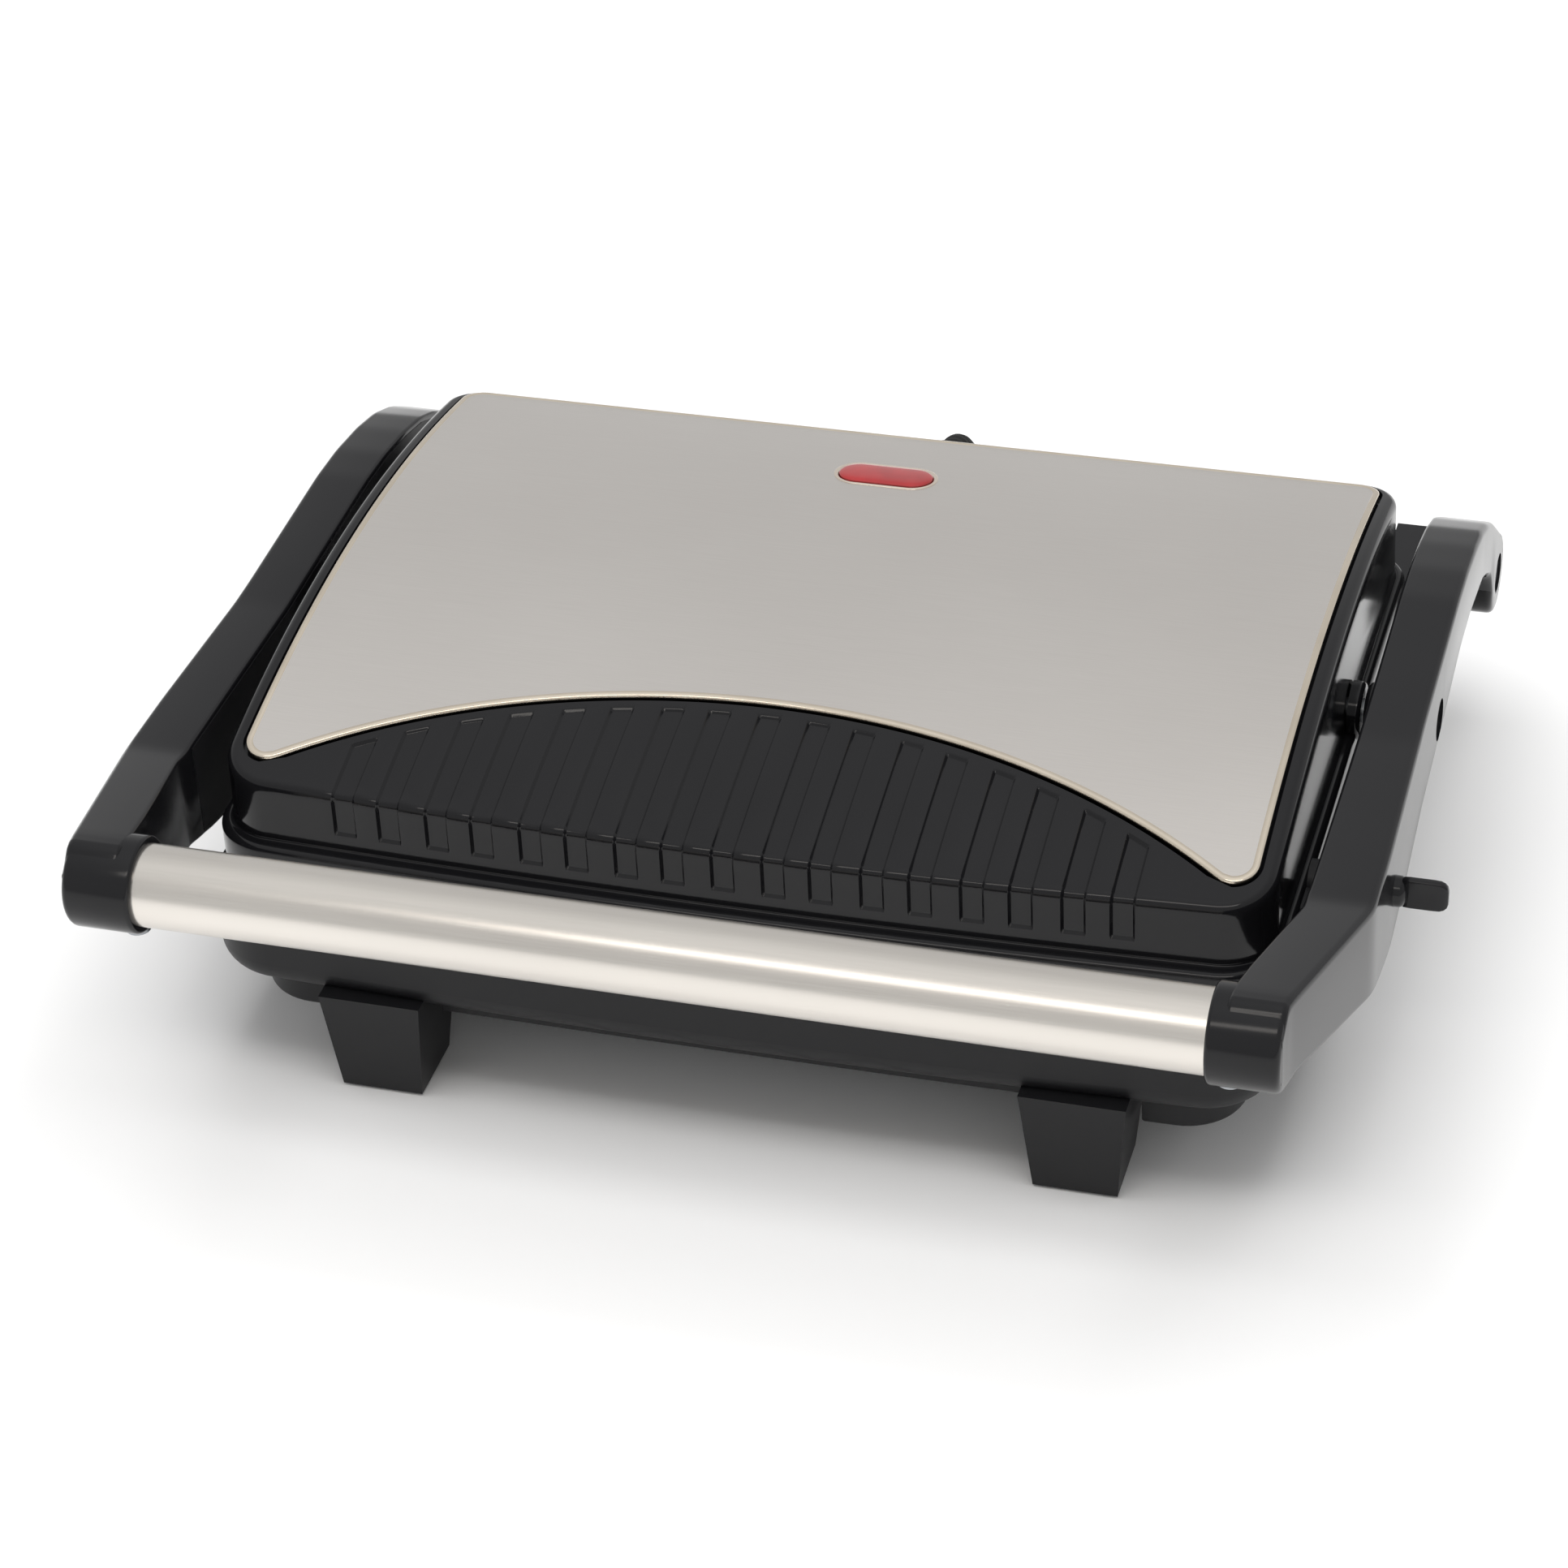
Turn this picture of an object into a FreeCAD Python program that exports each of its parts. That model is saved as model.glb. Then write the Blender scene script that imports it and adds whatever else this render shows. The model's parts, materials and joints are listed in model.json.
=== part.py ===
import FreeCAD, Part
import math
import os

import Sketcher
from FreeCAD import Placement, Rotation, Vector

# Two-slice contact grill (panini press), closed. Millimetres, +Z up, floor at Z = 0.
# Drawn about the middle plane X = 0 and the middle of the lid Y = 0, front towards -Y.
# Every sub-part then gets the same Placement, which puts the origin under the middle
# of the whole outline, handle and latch included.

# Each size is a number in millimetres, or follows another size by a fixed step.
SIZES = [
    # lid and its arched top
    ("lid_half_width", 131.2), ("lid_front", 90.0), ("lid_back", 94.0), ("lid_bow", 2.6),
    ("front_corner", 14.0), ("back_corner", 11.0), ("shell_wall", 2.5), ("top_wall", 2.6),
    ("arch_top", 93.2), ("arch_middle", 13.0), ("arch_radius", 363.5),
    ("lip_side", 2.4), ("lip_front", 4.0), ("lip_height", 10.3), ("parting_height", 51.0),
    ("parting_gap", 1.2), ("fit_gap", 0.4), ("running_gap", 0.08), ("body_gap", 0.7),
    # steel top panel
    ("panel_half_width", ("lid_half_width", -5.2)), ("panel_back", ("lid_back", -3.5)),
    ("panel_tip", ("lid_front", -8.0)),
    ("panel_arc_front", ("lid_front", -45.3)), ("panel_arc_radius", 206.5), ("panel_thickness", 1.2),
    ("panel_corner", 9.0), ("panel_proud", 0.8), ("panel_gap", 0.8),
    # grooves in the front of the lid
    ("channel_half_count", 8), ("channel_pitch", 12.06), ("channel_stagger", 0.44),
    ("channel_width", 5.4), ("channel_depth", 0.9), ("channel_foot", 66.3), ("channel_margin", 3.4),
    # indicator window
    ("lens_length", 27.0), ("lens_width", 13.0), ("lens_back", 61.7), ("lens_thickness", 4.6),
    # base
    ("base_front", ("lid_front", 14.0)), ("base_back", ("lid_back", 2.4)), ("base_floor", 26.5),
    ("base_wall", 2.5),
    ("base_corner", 18.0), ("cover_front", ("lid_front", 5.0)),
    ("cover_half_width", ("lid_half_width", -6.2)), ("cover_wall", 2.0),
    ("cover_height", 20.0), ("lobe_height", 15.5), ("lobe_start", ("lid_half_width", -29.7)),
    ("cover_corner", 15.0),
    # legs
    ("leg_inner", ("lid_half_width", -53.5)), ("leg_width", 20.8),
    ("leg_front", ("lid_front", 15.6)), ("leg_depth", 20.0),
    ("leg_rear", ("lid_back", -14.0)), ("leg_taper", 0.09), ("pad_drop", 0.8), ("pad_margin", 3.0),
    # cooking plates
    ("plate_half_width", ("lid_half_width", -11.2)), ("plate_front", ("lid_front", -8.0)),
    ("plate_back", ("lid_back", -8.0)),
    ("plate_slab", 4.0), ("rib_height", 2.2), ("rib_width", 3.0), ("rib_pitch", 10.0),
    ("plate_rim", 6.0), ("element_radius", 3.3), ("element_sink", 2.0), ("element_bend", 30.0),
    ("element_half_width", ("lid_half_width", -43.2)), ("element_front", 52.0), ("element_back", 104.0),
    ("reflector_gap", 4.0), ("reflector_sheet", 0.6), ("reflector_lip", 3.0),
    # handle arms
    ("arm_inner", ("lid_half_width", 7.2)), ("arm_width", 15.0), ("arm_wall", 2.6), ("arm_cover", 2.0),
    ("hinge_back", ("lid_back", 25.7)), ("hinge_height", 43.4), ("hinge_round", 11.0), ("hinge_pin", 3.5),
    ("pivot_back", 16.7), ("pivot_height", 64.5), ("pivot_boss", 7.4), ("pivot_pin", 3.0),
    ("boss_joint", ("lid_half_width", 3.6)), ("head_lift", 0.4),
    ("head_recess", 5.4), ("head_depth", 3.4),
    ("handle_front", ("lid_front", 47.2)), ("handle_height", 80.4), ("tube_radius", 10.0),
    ("tube_wall", 1.0),
    ("tube_half", ("lid_half_width", -3.9)), ("tube_seat", 6.0), ("lug_round", ("tube_radius", 1.8)),
    ("lug_outer", ("lid_half_width", 13.2)),
    ("arm_bulge", 1.2),
    # latch on the right arm
    ("latch_front", 55.8), ("latch_height", 64.4), ("latch_hub", 3.8), ("latch_reach", 13.8),
    ("latch_tab", 10.4), ("latch_tab_height", 8.2), ("latch_tab_sheet", 2.2), ("latch_hook", 13.4),
    # loom between base and lid
    ("loom_radius", 4.0), ("loom_offset", 7.5), ("loom_entry", 74.0), ("cord_bore", 3.6),
]

doc = FreeCAD.newDocument("panini_press")
sheet = doc.addObject("Spreadsheet::Sheet", "Sizes")
values = {}
for row, (alias, value) in enumerate(SIZES, start=1):
    if isinstance(value, tuple):
        value = round(values[value[0]] + value[1], 4)
    values[alias] = value
    sheet.set("A%d" % row, alias)
    sheet.set("B%d" % row, str(value))
    sheet.setAlias("B%d" % row, alias)
doc.recompute()


def size(alias):
    return float(sheet.get(alias))


ARM_OUTER = size("arm_inner") + size("arm_width")
HANDLE_TIP = size("handle_front") + size("lug_round")
HINGE_TIP = size("hinge_back") + size("hinge_round")
CENTRE_X = (size("arm_bulge") - size("latch_reach")) / 2
CENTRE_Y = (HANDLE_TIP - HINGE_TIP) / 2
FRAME = Placement(Vector(CENTRE_X, CENTRE_Y, 0), Rotation())
FAR = 2 * (HANDLE_TIP + ARM_OUTER)
LIP_BOTTOM = size("parting_height") + size("parting_gap") / 2
RIM_TOP = size("parting_height") - size("parting_gap") / 2
LIP_TOP = LIP_BOTTOM + size("lip_height")
X_AXIS = Vector(1, 0, 0)
Y_AXIS = Vector(0, 1, 0)
Z_AXIS = Vector(0, 0, 1)
SUB_PARTS = []


# ---------------------------------------------------------------- helpers

def hand_over(piece, label):
    """Names a finished sub-part and gives it the common Placement."""
    piece.Label = label
    piece.Placement = FRAME
    SUB_PARTS.append(piece)
    return piece


def feature(label, shape):
    """A sub-part whose shape is worked out with Part functions."""
    piece = doc.addObject("Part::Feature", label)
    piece.Shape = shape
    return hand_over(piece, label)


AXES = {"X": Rotation(Vector(0, 1, 0), 90), "Y": Rotation(Vector(1, 0, 0), -90), "Z": Rotation()}


def primitive(kind, label, at, axis="Z", **sizes):
    """A Part primitive with its sizes and its corner or centre bound to the sheet."""
    solid = doc.addObject("Part::" + kind, label)
    solid.Placement = Placement(Vector(0, 0, 0), AXES[axis])
    for letter, text in zip("xyz", at):
        solid.setExpression("Placement.Base." + letter, text)
    for name, text in sizes.items():
        solid.setExpression(name, text)
    return solid


def cylinder(label, at, axis, radius, length):
    return primitive("Cylinder", label, at, axis, Radius=radius, Height=length)


def block(label, at, length, width, height):
    return primitive("Box", label, at, Length=length, Width=width, Height=height)


def fused(label, pieces):
    result = doc.addObject("Part::MultiFuse", label)
    result.Shapes = pieces
    return result


def cut_from(label, base, tools):
    """Base less all the tools, as a chain of Part::Cut objects."""
    for number, tool in enumerate(tools, start=1):
        last = number == len(tools)
        result = doc.addObject("Part::Cut", label if last else "%s_step_%d" % (label, number))
        result.Base = base
        result.Tool = tool
        base = result
    return base


def grouped(label, pieces):
    result = doc.addObject("Part::Compound", label)
    result.Links = pieces
    return result


def left_hand(source, label):
    """The mirror image of a right-hand sub-part about the middle plane."""
    twin = doc.addObject("Part::Mirroring", label)
    twin.Source = source
    twin.Base = FRAME.Base
    twin.Normal = X_AXIS
    twin.Label = label
    SUB_PARTS.append(twin)
    return twin


def rod(centre, axis, radius, length):
    return Part.makeCylinder(radius, length, centre, axis)


def box(x0, x1, y0, y1, z0, z1):
    return Part.makeBox(x1 - x0, y1 - y0, z1 - z0, Vector(x0, y0, z0))


def mirrored(shape):
    return shape.mirror(Vector(0, 0, 0), X_AXIS)


def join(shapes):
    first = shapes[0]
    return first.multiFuse(shapes[1:]).removeSplitter() if len(shapes) > 1 else first


def extrude(wire, direction):
    return Part.Face(wire).extrude(direction)


def flat_wire(points, z=0.0):
    corners = [Vector(x, y, z) for x, y in points]
    return Part.makePolygon(corners + corners[:1])


def side_wire(points, x=0.0):
    corners = [Vector(x, y, z) for y, z in points]
    return Part.makePolygon(corners + corners[:1])


def outline(half_width, front, back, front_corner, back_corner, bow, z):
    """Plan of a housing: straight sides and back, bowed front, round corners."""
    start = half_width - front_corner
    side_back = back - back_corner
    side_front = front_corner - front
    edges = [
        Part.makeLine(Vector(half_width, side_front, z), Vector(half_width, side_back, z)),
        corner_arc(half_width - back_corner, side_back, back_corner, 0, z),
        Part.makeLine(Vector(half_width - back_corner, back, z), Vector(back_corner - half_width, back, z)),
        corner_arc(back_corner - half_width, side_back, back_corner, 90, z),
        Part.makeLine(Vector(-half_width, side_back, z), Vector(-half_width, side_front, z)),
        corner_arc(-start, -front + front_corner, front_corner, 180, z),
        Part.Arc(Vector(-start, -front, z), Vector(0, -front - bow, z), Vector(start, -front, z)).toShape(),
        corner_arc(start, -front + front_corner, front_corner, 270, z),
    ]
    return Part.Wire(edges)


def corner_arc(x, y, radius, start_degrees, z):
    angles = [math.radians(start_degrees + step) for step in (0, 45, 90)]
    points = [Vector(x + radius * math.cos(a), y + radius * math.sin(a), z) for a in angles]
    return Part.Arc(*points).toShape()


def under_arch(drop):
    """Everything below the arched top surface, lowered by drop."""
    centre = Vector(-FAR / 2, size("arch_middle"), size("arch_top") - size("arch_radius"))
    return rod(centre, X_AXIS, size("arch_radius") - drop, FAR)


def lid_block(inset, drop, bottom):
    """The lid's outer form, inset at the walls and lowered at the top."""
    plan = outline(size("lid_half_width") - inset, size("lid_front") - inset, size("lid_back") - inset,
                   size("front_corner") - inset, size("back_corner") - inset, size("lid_bow"), bottom)
    return extrude(plan, Vector(0, 0, FAR)).common(under_arch(drop))


def panel_plan(grow):
    """Outline of the steel panel, cut away at the front by an arc, grown by grow."""
    half = size("panel_half_width") + grow
    back = size("panel_back") + grow
    radius = size("panel_arc_radius") - grow
    apex = -size("panel_arc_front") - grow
    block = extrude(outline(half, size("panel_tip") + grow, back, size("panel_corner") + grow,
                            size("panel_corner") + grow, 0.01, 0), Vector(0, 0, FAR))
    return block.cut(rod(Vector(0, apex - radius, -1), Z_AXIS, radius, FAR + 2))


def plane_of(body, role):
    return [plane for plane in body.Origin.OriginFeatures if plane.Role == role][0]


def sketch_at(body, name, height):
    """A sketch parallel to the body's XY plane at the height given by an expression."""
    sketch = body.newObject("Sketcher::SketchObject", name)
    sketch.AttachmentSupport = [(plane_of(body, "XY_Plane"), "")]
    sketch.MapMode = "FlatFace"
    sketch.setExpression("AttachmentOffset.Base.z", height)
    return sketch


def rectangle(sketch, left, right, front, back):
    """A rectangle whose four sides are bound to expressions measured from the origin."""
    first = sketch.GeometryCount
    corners = [Vector(-1, -1, 0), Vector(1, -1, 0), Vector(1, 1, 0), Vector(-1, 1, 0)]
    for index in range(4):
        sketch.addGeometry(Part.LineSegment(corners[index], corners[(index + 1) % 4]), False)
    for index in range(4):
        following = first + (index + 1) % 4
        sketch.addConstraint(Sketcher.Constraint("Coincident", first + index, 2, following, 1))
        direction = "Horizontal" if index % 2 == 0 else "Vertical"
        sketch.addConstraint(Sketcher.Constraint(direction, first + index))
    bounds = [("DistanceX", 0, left, -1.0), ("DistanceX", 2, right, 1.0),
              ("DistanceY", 0, front, -1.0), ("DistanceY", 2, back, 1.0)]
    for kind, edge, expression, value in bounds:
        number = sketch.addConstraint(Sketcher.Constraint(kind, -1, 1, first + edge, 1, value))
        sketch.setExpression("Constraints[%d]" % number, expression)


def pad(body, name, sketch, length, downwards=False):
    step = body.newObject("PartDesign::Pad", name)
    step.Profile = sketch
    step.setExpression("Length", length)
    step.Reversed = downwards
    return step


def channel_centres():
    """Grooves either side of the middle one, with the pitch wide and narrow in turn."""
    centres = [0.0]
    reach = 0.0
    for step in range(int(size("channel_half_count"))):
        turn = 1 if step % 2 == 0 else -1
        reach += size("channel_pitch") + turn * size("channel_stagger")
        centres += [reach, -reach]
    return centres


def channel_cutters():
    """Boxes from the arc of the steel panel forward, down to the foot of each groove."""
    radius = size("panel_arc_radius")
    centre_y = -size("panel_arc_front") - radius
    half = size("channel_width") / 2
    cutters = []
    for x in channel_centres():
        inside = radius - size("channel_margin")
        end = centre_y + math.sqrt(inside ** 2 - x ** 2)
        cutters.append(box(x - half, x + half, -FAR, end, size("channel_foot"), FAR))
    return Part.makeCompound(cutters)


def lid_shell():
    outer = lid_block(0, size("panel_proud"), LIP_BOTTOM)
    lip_plan = outline(size("lid_half_width") + size("lip_side"), size("lid_front") + size("lip_front"),
                       size("lid_back") + size("lip_side"), size("front_corner") + size("lip_side"),
                       size("back_corner") + size("lip_side"), size("lid_bow"), LIP_BOTTOM)
    lip = extrude(lip_plan, Vector(0, 0, size("lip_height")))
    skin = outer.cut(lid_block(size("channel_depth"), size("panel_proud") + size("channel_depth"), 0))
    outer = outer.cut(channel_cutters().common(skin))
    recess = panel_plan(size("panel_gap")).cut(under_arch(size("panel_thickness")))
    hollow = lid_block(size("shell_wall"), size("panel_proud") + size("top_wall"), LIP_BOTTOM - 1)
    shell = outer.fuse(lip).cut(recess).cut(hollow)
    shell = shell.cut(lens_prism(size("fit_gap"))).cut(loom_hole())
    pin_hole = size("pivot_pin") + size("running_gap")
    for side in (1, -1):
        start = Vector(side * (size("lid_half_width") - 6), size("pivot_back"), size("pivot_height"))
        shell = shell.cut(rod(start, Vector(side, 0, 0), pin_hole, 20))
    return shell.removeSplitter()


def lens_prism(grow):
    """Upright obround prism on the indicator window's outline."""
    half = size("lens_length") / 2 - size("lens_width") / 2
    radius = size("lens_width") / 2 + grow
    y = size("lens_back")
    bar = box(-half, half, y - radius, y + radius, size("parting_height") + 20, FAR)
    ends = [rod(Vector(side * half, y, size("parting_height") + 20), Z_AXIS, radius, FAR) for side in (1, -1)]
    return bar.multiFuse(ends).removeSplitter()


def top_panel():
    panel = panel_plan(0).common(under_arch(0)).cut(under_arch(size("panel_thickness")))
    return panel.cut(lens_prism(size("fit_gap") / 2))


def indicator_lens():
    skirt = lens_prism(size("fit_gap") + 1.6).cut(under_arch(size("panel_proud") + size("top_wall") + 1.6))
    skirt = skirt.common(under_arch(size("panel_proud") + size("top_wall")))
    window = lens_prism(0).common(under_arch(0.3)).cut(under_arch(size("lens_thickness")))
    return window.fuse(skirt).removeSplitter()


def lamp_height():
    rise = size("arch_radius") ** 2 - (size("lens_back") - size("arch_middle")) ** 2
    return size("arch_top") - size("arch_radius") + math.sqrt(rise)


def neon_lamp():
    """Small glass neon lamp lying under the window."""
    centre = ("Sizes.lens_back", "%.3f" % (lamp_height() - 12))
    bulb = cylinder("neon_bulb", ("-9", *centre), "X", "2.5", "16")
    tip = primitive("Cone", "neon_tip", ("7", *centre), "X", Radius1="2.5", Radius2="0.6", Height="2.5")
    return hand_over(fused("neon_lamp", [bulb, tip]), "neon_lamp")


def lamp_holder():
    """Open trough that holds the neon lamp."""
    z = "%.3f" % (lamp_height() - 17)
    body = block("holder_body", ("-13", "Sizes.lens_back - 6", z), "26", "12", "8.2")
    room = block("holder_room", ("-10", "Sizes.lens_back - 3", z + " + 2"), "20", "6", "8")
    return hand_over(cut_from("lamp_holder", body, [room]), "lamp_holder")


def lid_boss():
    """Round boss on the lid's side wall at the pivot."""
    wall = size("lid_half_width")
    start = Vector(wall, size("pivot_back"), size("pivot_height"))
    boss = rod(start, X_AXIS, size("pivot_boss"), size("boss_joint") - size("body_gap") / 2 - wall)
    rim = [e for e in boss.Edges if e.Closed and e.CenterOfMass.x > wall + 1]
    boss = boss.makeFillet(1.2, rim)
    boss = boss.cut(rod(start, X_AXIS, size("pivot_pin") + size("running_gap"), 20))
    return boss.cut(box(0, wall + size("lip_side"), -FAR, FAR, 0, LIP_TOP))


# ---------------------------------------------------------------- cooking plates

def cooking_plate(label, tip, up):
    """Ribbed die casting; tip is its rib height as an expression, up tells which way ribs point."""
    body = doc.addObject("PartDesign::Body", label + "_casting")
    back_face = "%s %s Sizes.rib_height" % (tip, "-" if up else "+")
    slab = sketch_at(body, label + "_slab_outline", back_face)
    rectangle(slab, "-Sizes.plate_half_width", "Sizes.plate_half_width", "-Sizes.plate_front",
              "Sizes.plate_back")
    pad(body, label + "_slab", slab, "Sizes.plate_slab", downwards=up)
    rim = sketch_at(body, label + "_rim_outline", back_face)
    rectangle(rim, "-Sizes.plate_half_width", "Sizes.plate_half_width", "-Sizes.plate_front",
              "Sizes.plate_back")
    rectangle(rim, "-Sizes.plate_half_width + Sizes.plate_rim", "Sizes.plate_half_width - Sizes.plate_rim",
              "-Sizes.plate_front + Sizes.plate_rim", "Sizes.plate_back - Sizes.plate_rim")
    pad(body, label + "_rim", rim, "Sizes.rib_height", downwards=not up)
    side_room = size("plate_half_width") - size("plate_rim") - size("rib_pitch") / 2
    count = int(side_room / size("rib_pitch"))
    rib = sketch_at(body, label + "_rib_outline", back_face)
    start = "-%d * Sizes.rib_pitch" % count
    rectangle(rib, start + " - Sizes.rib_width / 2", start + " + Sizes.rib_width / 2",
              "-Sizes.plate_front + Sizes.plate_rim / 2", "Sizes.plate_back - Sizes.plate_rim / 2")
    first = pad(body, label + "_first_rib", rib, "Sizes.rib_height", downwards=not up)
    doc.recompute()
    pattern = body.newObject("PartDesign::LinearPattern", label + "_ribs")
    pattern.Originals = [first]
    pattern.Direction = (rib, ["H_Axis"])
    pattern.setExpression("Length", "2 * %d * Sizes.rib_pitch" % count)
    pattern.Occurrences = 2 * count + 1
    body.Tip = pattern
    return body


def element_tube(height):
    """U-shaped sheathed heating element with its ends turned out at the back."""
    half = size("element_half_width")
    bend = size("element_bend")
    front = -size("element_front")
    back = size("element_back") - 40
    edges = [
        Part.makeLine(Vector(half, back, height), Vector(half, front + bend, height)),
        corner_arc(half - bend, front + bend, bend, 270, height),
        Part.makeLine(Vector(half - bend, front, height), Vector(bend - half, front, height)),
        corner_arc(bend - half, front + bend, bend, 180, height),
        Part.makeLine(Vector(-half, front + bend, height), Vector(-half, back, height)),
    ]
    path = Part.Wire(Part.__sortEdges__(edges))
    ring = Part.Wire(Part.makeCircle(size("element_radius"), Vector(half, back, height), Y_AXIS))
    return path.makePipeShell([ring], True, False)


def heated_plate(label, tip_expression, up):
    """Plate with a round seat for its element, and the element itself; returns the level of its back."""
    casting = cooking_plate(label, tip_expression, up)
    away = -1 if up else 1
    tip = size("parting_height") + away * size("parting_gap")
    back = tip + away * (size("rib_height") + size("plate_slab"))
    height = back + away * (size("element_radius") - size("element_sink"))
    feature(label.replace("plate", "element"), element_tube(height))
    seat = doc.addObject("Part::Feature", label + "_seat")
    seat.Shape = element_tube(height)
    hand_over(cut_from(label, casting, [seat]), label)
    return back


def reflector(label, level, up):
    """Shallow folded sheet tray behind a plate; its lip points to the plate."""
    body = doc.addObject("PartDesign::Body", label)
    margin = 8
    limits = ["-Sizes.plate_half_width + %d" % margin, "Sizes.plate_half_width - %d" % margin,
              "-Sizes.plate_front + %d" % margin, "Sizes.plate_back - %d" % margin]
    inner = ["-Sizes.plate_half_width + %d + Sizes.reflector_sheet" % margin,
             "Sizes.plate_half_width - %d - Sizes.reflector_sheet" % margin,
             "-Sizes.plate_front + %d + Sizes.reflector_sheet" % margin,
             "Sizes.plate_back - %d - Sizes.reflector_sheet" % margin]
    floor = sketch_at(body, label + "_floor_outline", "%.3f" % level)
    rectangle(floor, *limits)
    pad(body, label + "_floor", floor, "Sizes.reflector_sheet", downwards=not up)
    wall = sketch_at(body, label + "_wall_outline", "%.3f" % level)
    rectangle(wall, *limits)
    rectangle(wall, *inner)
    pad(body, label + "_wall", wall, "Sizes.reflector_lip", downwards=up)
    return hand_over(body, label)


# ---------------------------------------------------------------- base

def base_plan(inset, z):
    return outline(size("lid_half_width") + size("lip_side") - inset, size("base_front") - inset,
                   size("base_back") - inset, size("base_corner") - inset,
                   size("back_corner") + size("lip_side") - inset, size("lid_bow"), z)


def leg(x_inner, y_front, y_back, top):
    """Tapered hollow-looking leg, wider at the top, standing on the floor."""
    spread = size("leg_taper") * top
    x_outer = x_inner + size("leg_width")
    floor = flat_wire([(x_inner, y_front), (x_outer, y_front), (x_outer, y_back), (x_inner, y_back)],
                      size("pad_drop"))
    head = flat_wire([(x_inner - spread, y_front - spread), (x_outer + spread, y_front - spread),
                      (x_outer + spread, y_back + 2 * spread), (x_inner - spread, y_back + 2 * spread)], top)
    return Part.makeLoft([floor, head], True)


def leg_places():
    front = -size("leg_front")
    rear = size("leg_rear") - size("leg_depth")
    return [(front, front + size("leg_depth")), (rear, rear + size("leg_depth"))]


def hinge_ear():
    """Flat-topped ear behind the base that carries one arm's hinge pin."""
    y = size("hinge_back")
    z = size("hinge_height")
    outer = size("arm_inner") - size("body_gap")
    inner = outer - 13
    web = box(inner, outer, size("base_back") - 12, y, z - size("hinge_round"), RIM_TOP)
    ear = rod(Vector(inner, y, z), X_AXIS, size("hinge_round"), outer - inner)
    return web.fuse(ear.cut(box(inner - 1, outer + 1, 0, FAR, RIM_TOP, FAR)))


def latch_catch():
    """Bracket on the base's right side; the latch's toe turns under its ledge."""
    wall = "Sizes.lid_half_width + Sizes.lip_side"
    inner = wall + " + Sizes.body_gap"
    reach = "Sizes.arm_inner - Sizes.body_gap - (%s)"
    back = "-Sizes.latch_front + 7.3"
    rim = "Sizes.parting_height - Sizes.parting_gap / 2"
    ledge_top = "Sizes.latch_height - Sizes.latch_hook + 4.9"
    foot = block("catch_foot", (wall, back, rim + " - 6"), reach % wall, "3.7", "4.6")
    post = block("catch_post", (inner, back, rim + " - 3"), reach % inner, "3.7",
                 "%s - (%s) + 3" % (ledge_top, rim))
    ledge = block("catch_ledge", (inner, "-Sizes.latch_front + 2", ledge_top + " - 2.5"), reach % inner,
                  "9", "2.5")
    return hand_over(fused("latch_catch", [foot, post, ledge]), "latch_catch")


def base_housing():
    floor = size("base_floor")
    block = extrude(base_plan(0, floor), Vector(0, 0, RIM_TOP - floor))
    bottom = [e for e in block.Edges if e.BoundBox.ZMax < floor + 0.01]
    block = block.makeFillet(7.0, bottom)
    legs = []
    for y_front, y_back in leg_places():
        right = leg(size("leg_inner"), y_front, y_back, floor + 3)
        legs += [right, mirrored(right)]
    ears = [hinge_ear(), mirrored(hinge_ear())]
    block = join([block] + legs + ears)
    hollow = extrude(base_plan(size("base_wall"), floor + size("base_wall")), Vector(0, 0, FAR))
    block = block.cut(hollow)
    sump = box(-70, 70, -70, 70, floor - 1, floor + size("base_wall") + 1)
    block = block.cut(sump)
    ear_end = size("arm_inner") - size("body_gap") + 1
    for side in (1, -1):
        end = Vector(side * ear_end, size("hinge_back"), size("hinge_height"))
        block = block.cut(rod(end, Vector(-side, 0, 0), size("hinge_pin"), 12))
    gland = rod(Vector(-60, size("base_back") - 10, 37), Y_AXIS, 5.5, 20)
    loom = rod(Vector(size("loom_offset"), size("base_back") - 10, 38), Y_AXIS, size("loom_radius") + 1.5, 20)
    return block.cut(gland).cut(loom).removeSplitter()


def cover_form(inset, top):
    """Outside of the bottom cover, or its inside when inset by the wall."""
    level = size("cover_height") + inset
    start = size("lobe_start") + inset
    plan = outline(size("cover_half_width") - inset, size("cover_front") - inset,
                   size("base_back") - 8 - inset, size("cover_corner") - inset, 10 - inset, 0.8,
                   size("lobe_height") + inset)
    form = extrude(plan, Vector(0, 0, top - size("lobe_height") - inset))
    form = form.cut(box(-start, start, -FAR, FAR, 0, level))
    form = form.cut(box(-FAR, FAR, inset - size("cover_front") + 40, FAR, 0, level))
    for y_front, y_back in leg_places():
        inner = size("leg_inner") - 3.6 - inset
        outer = size("leg_inner") + size("leg_width") + 3.6 + inset
        gap = box(inner, outer, y_front - 20, y_back + 9 + inset, 0, top + 1)
        form = form.cut(gap).cut(mirrored(gap))
    return form


def bottom_cover():
    """Thin cover under the base, deeper outside the front legs, open at the top."""
    top = size("base_floor")
    wall = size("cover_wall")
    cover = cover_form(0, top).cut(cover_form(wall, top + 5)).removeSplitter()
    edges = [e for e in cover.Edges if e.BoundBox.ZMax < size("lobe_height") + 0.01]
    return cover.makeFillet(0.9 * wall, edges)


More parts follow.
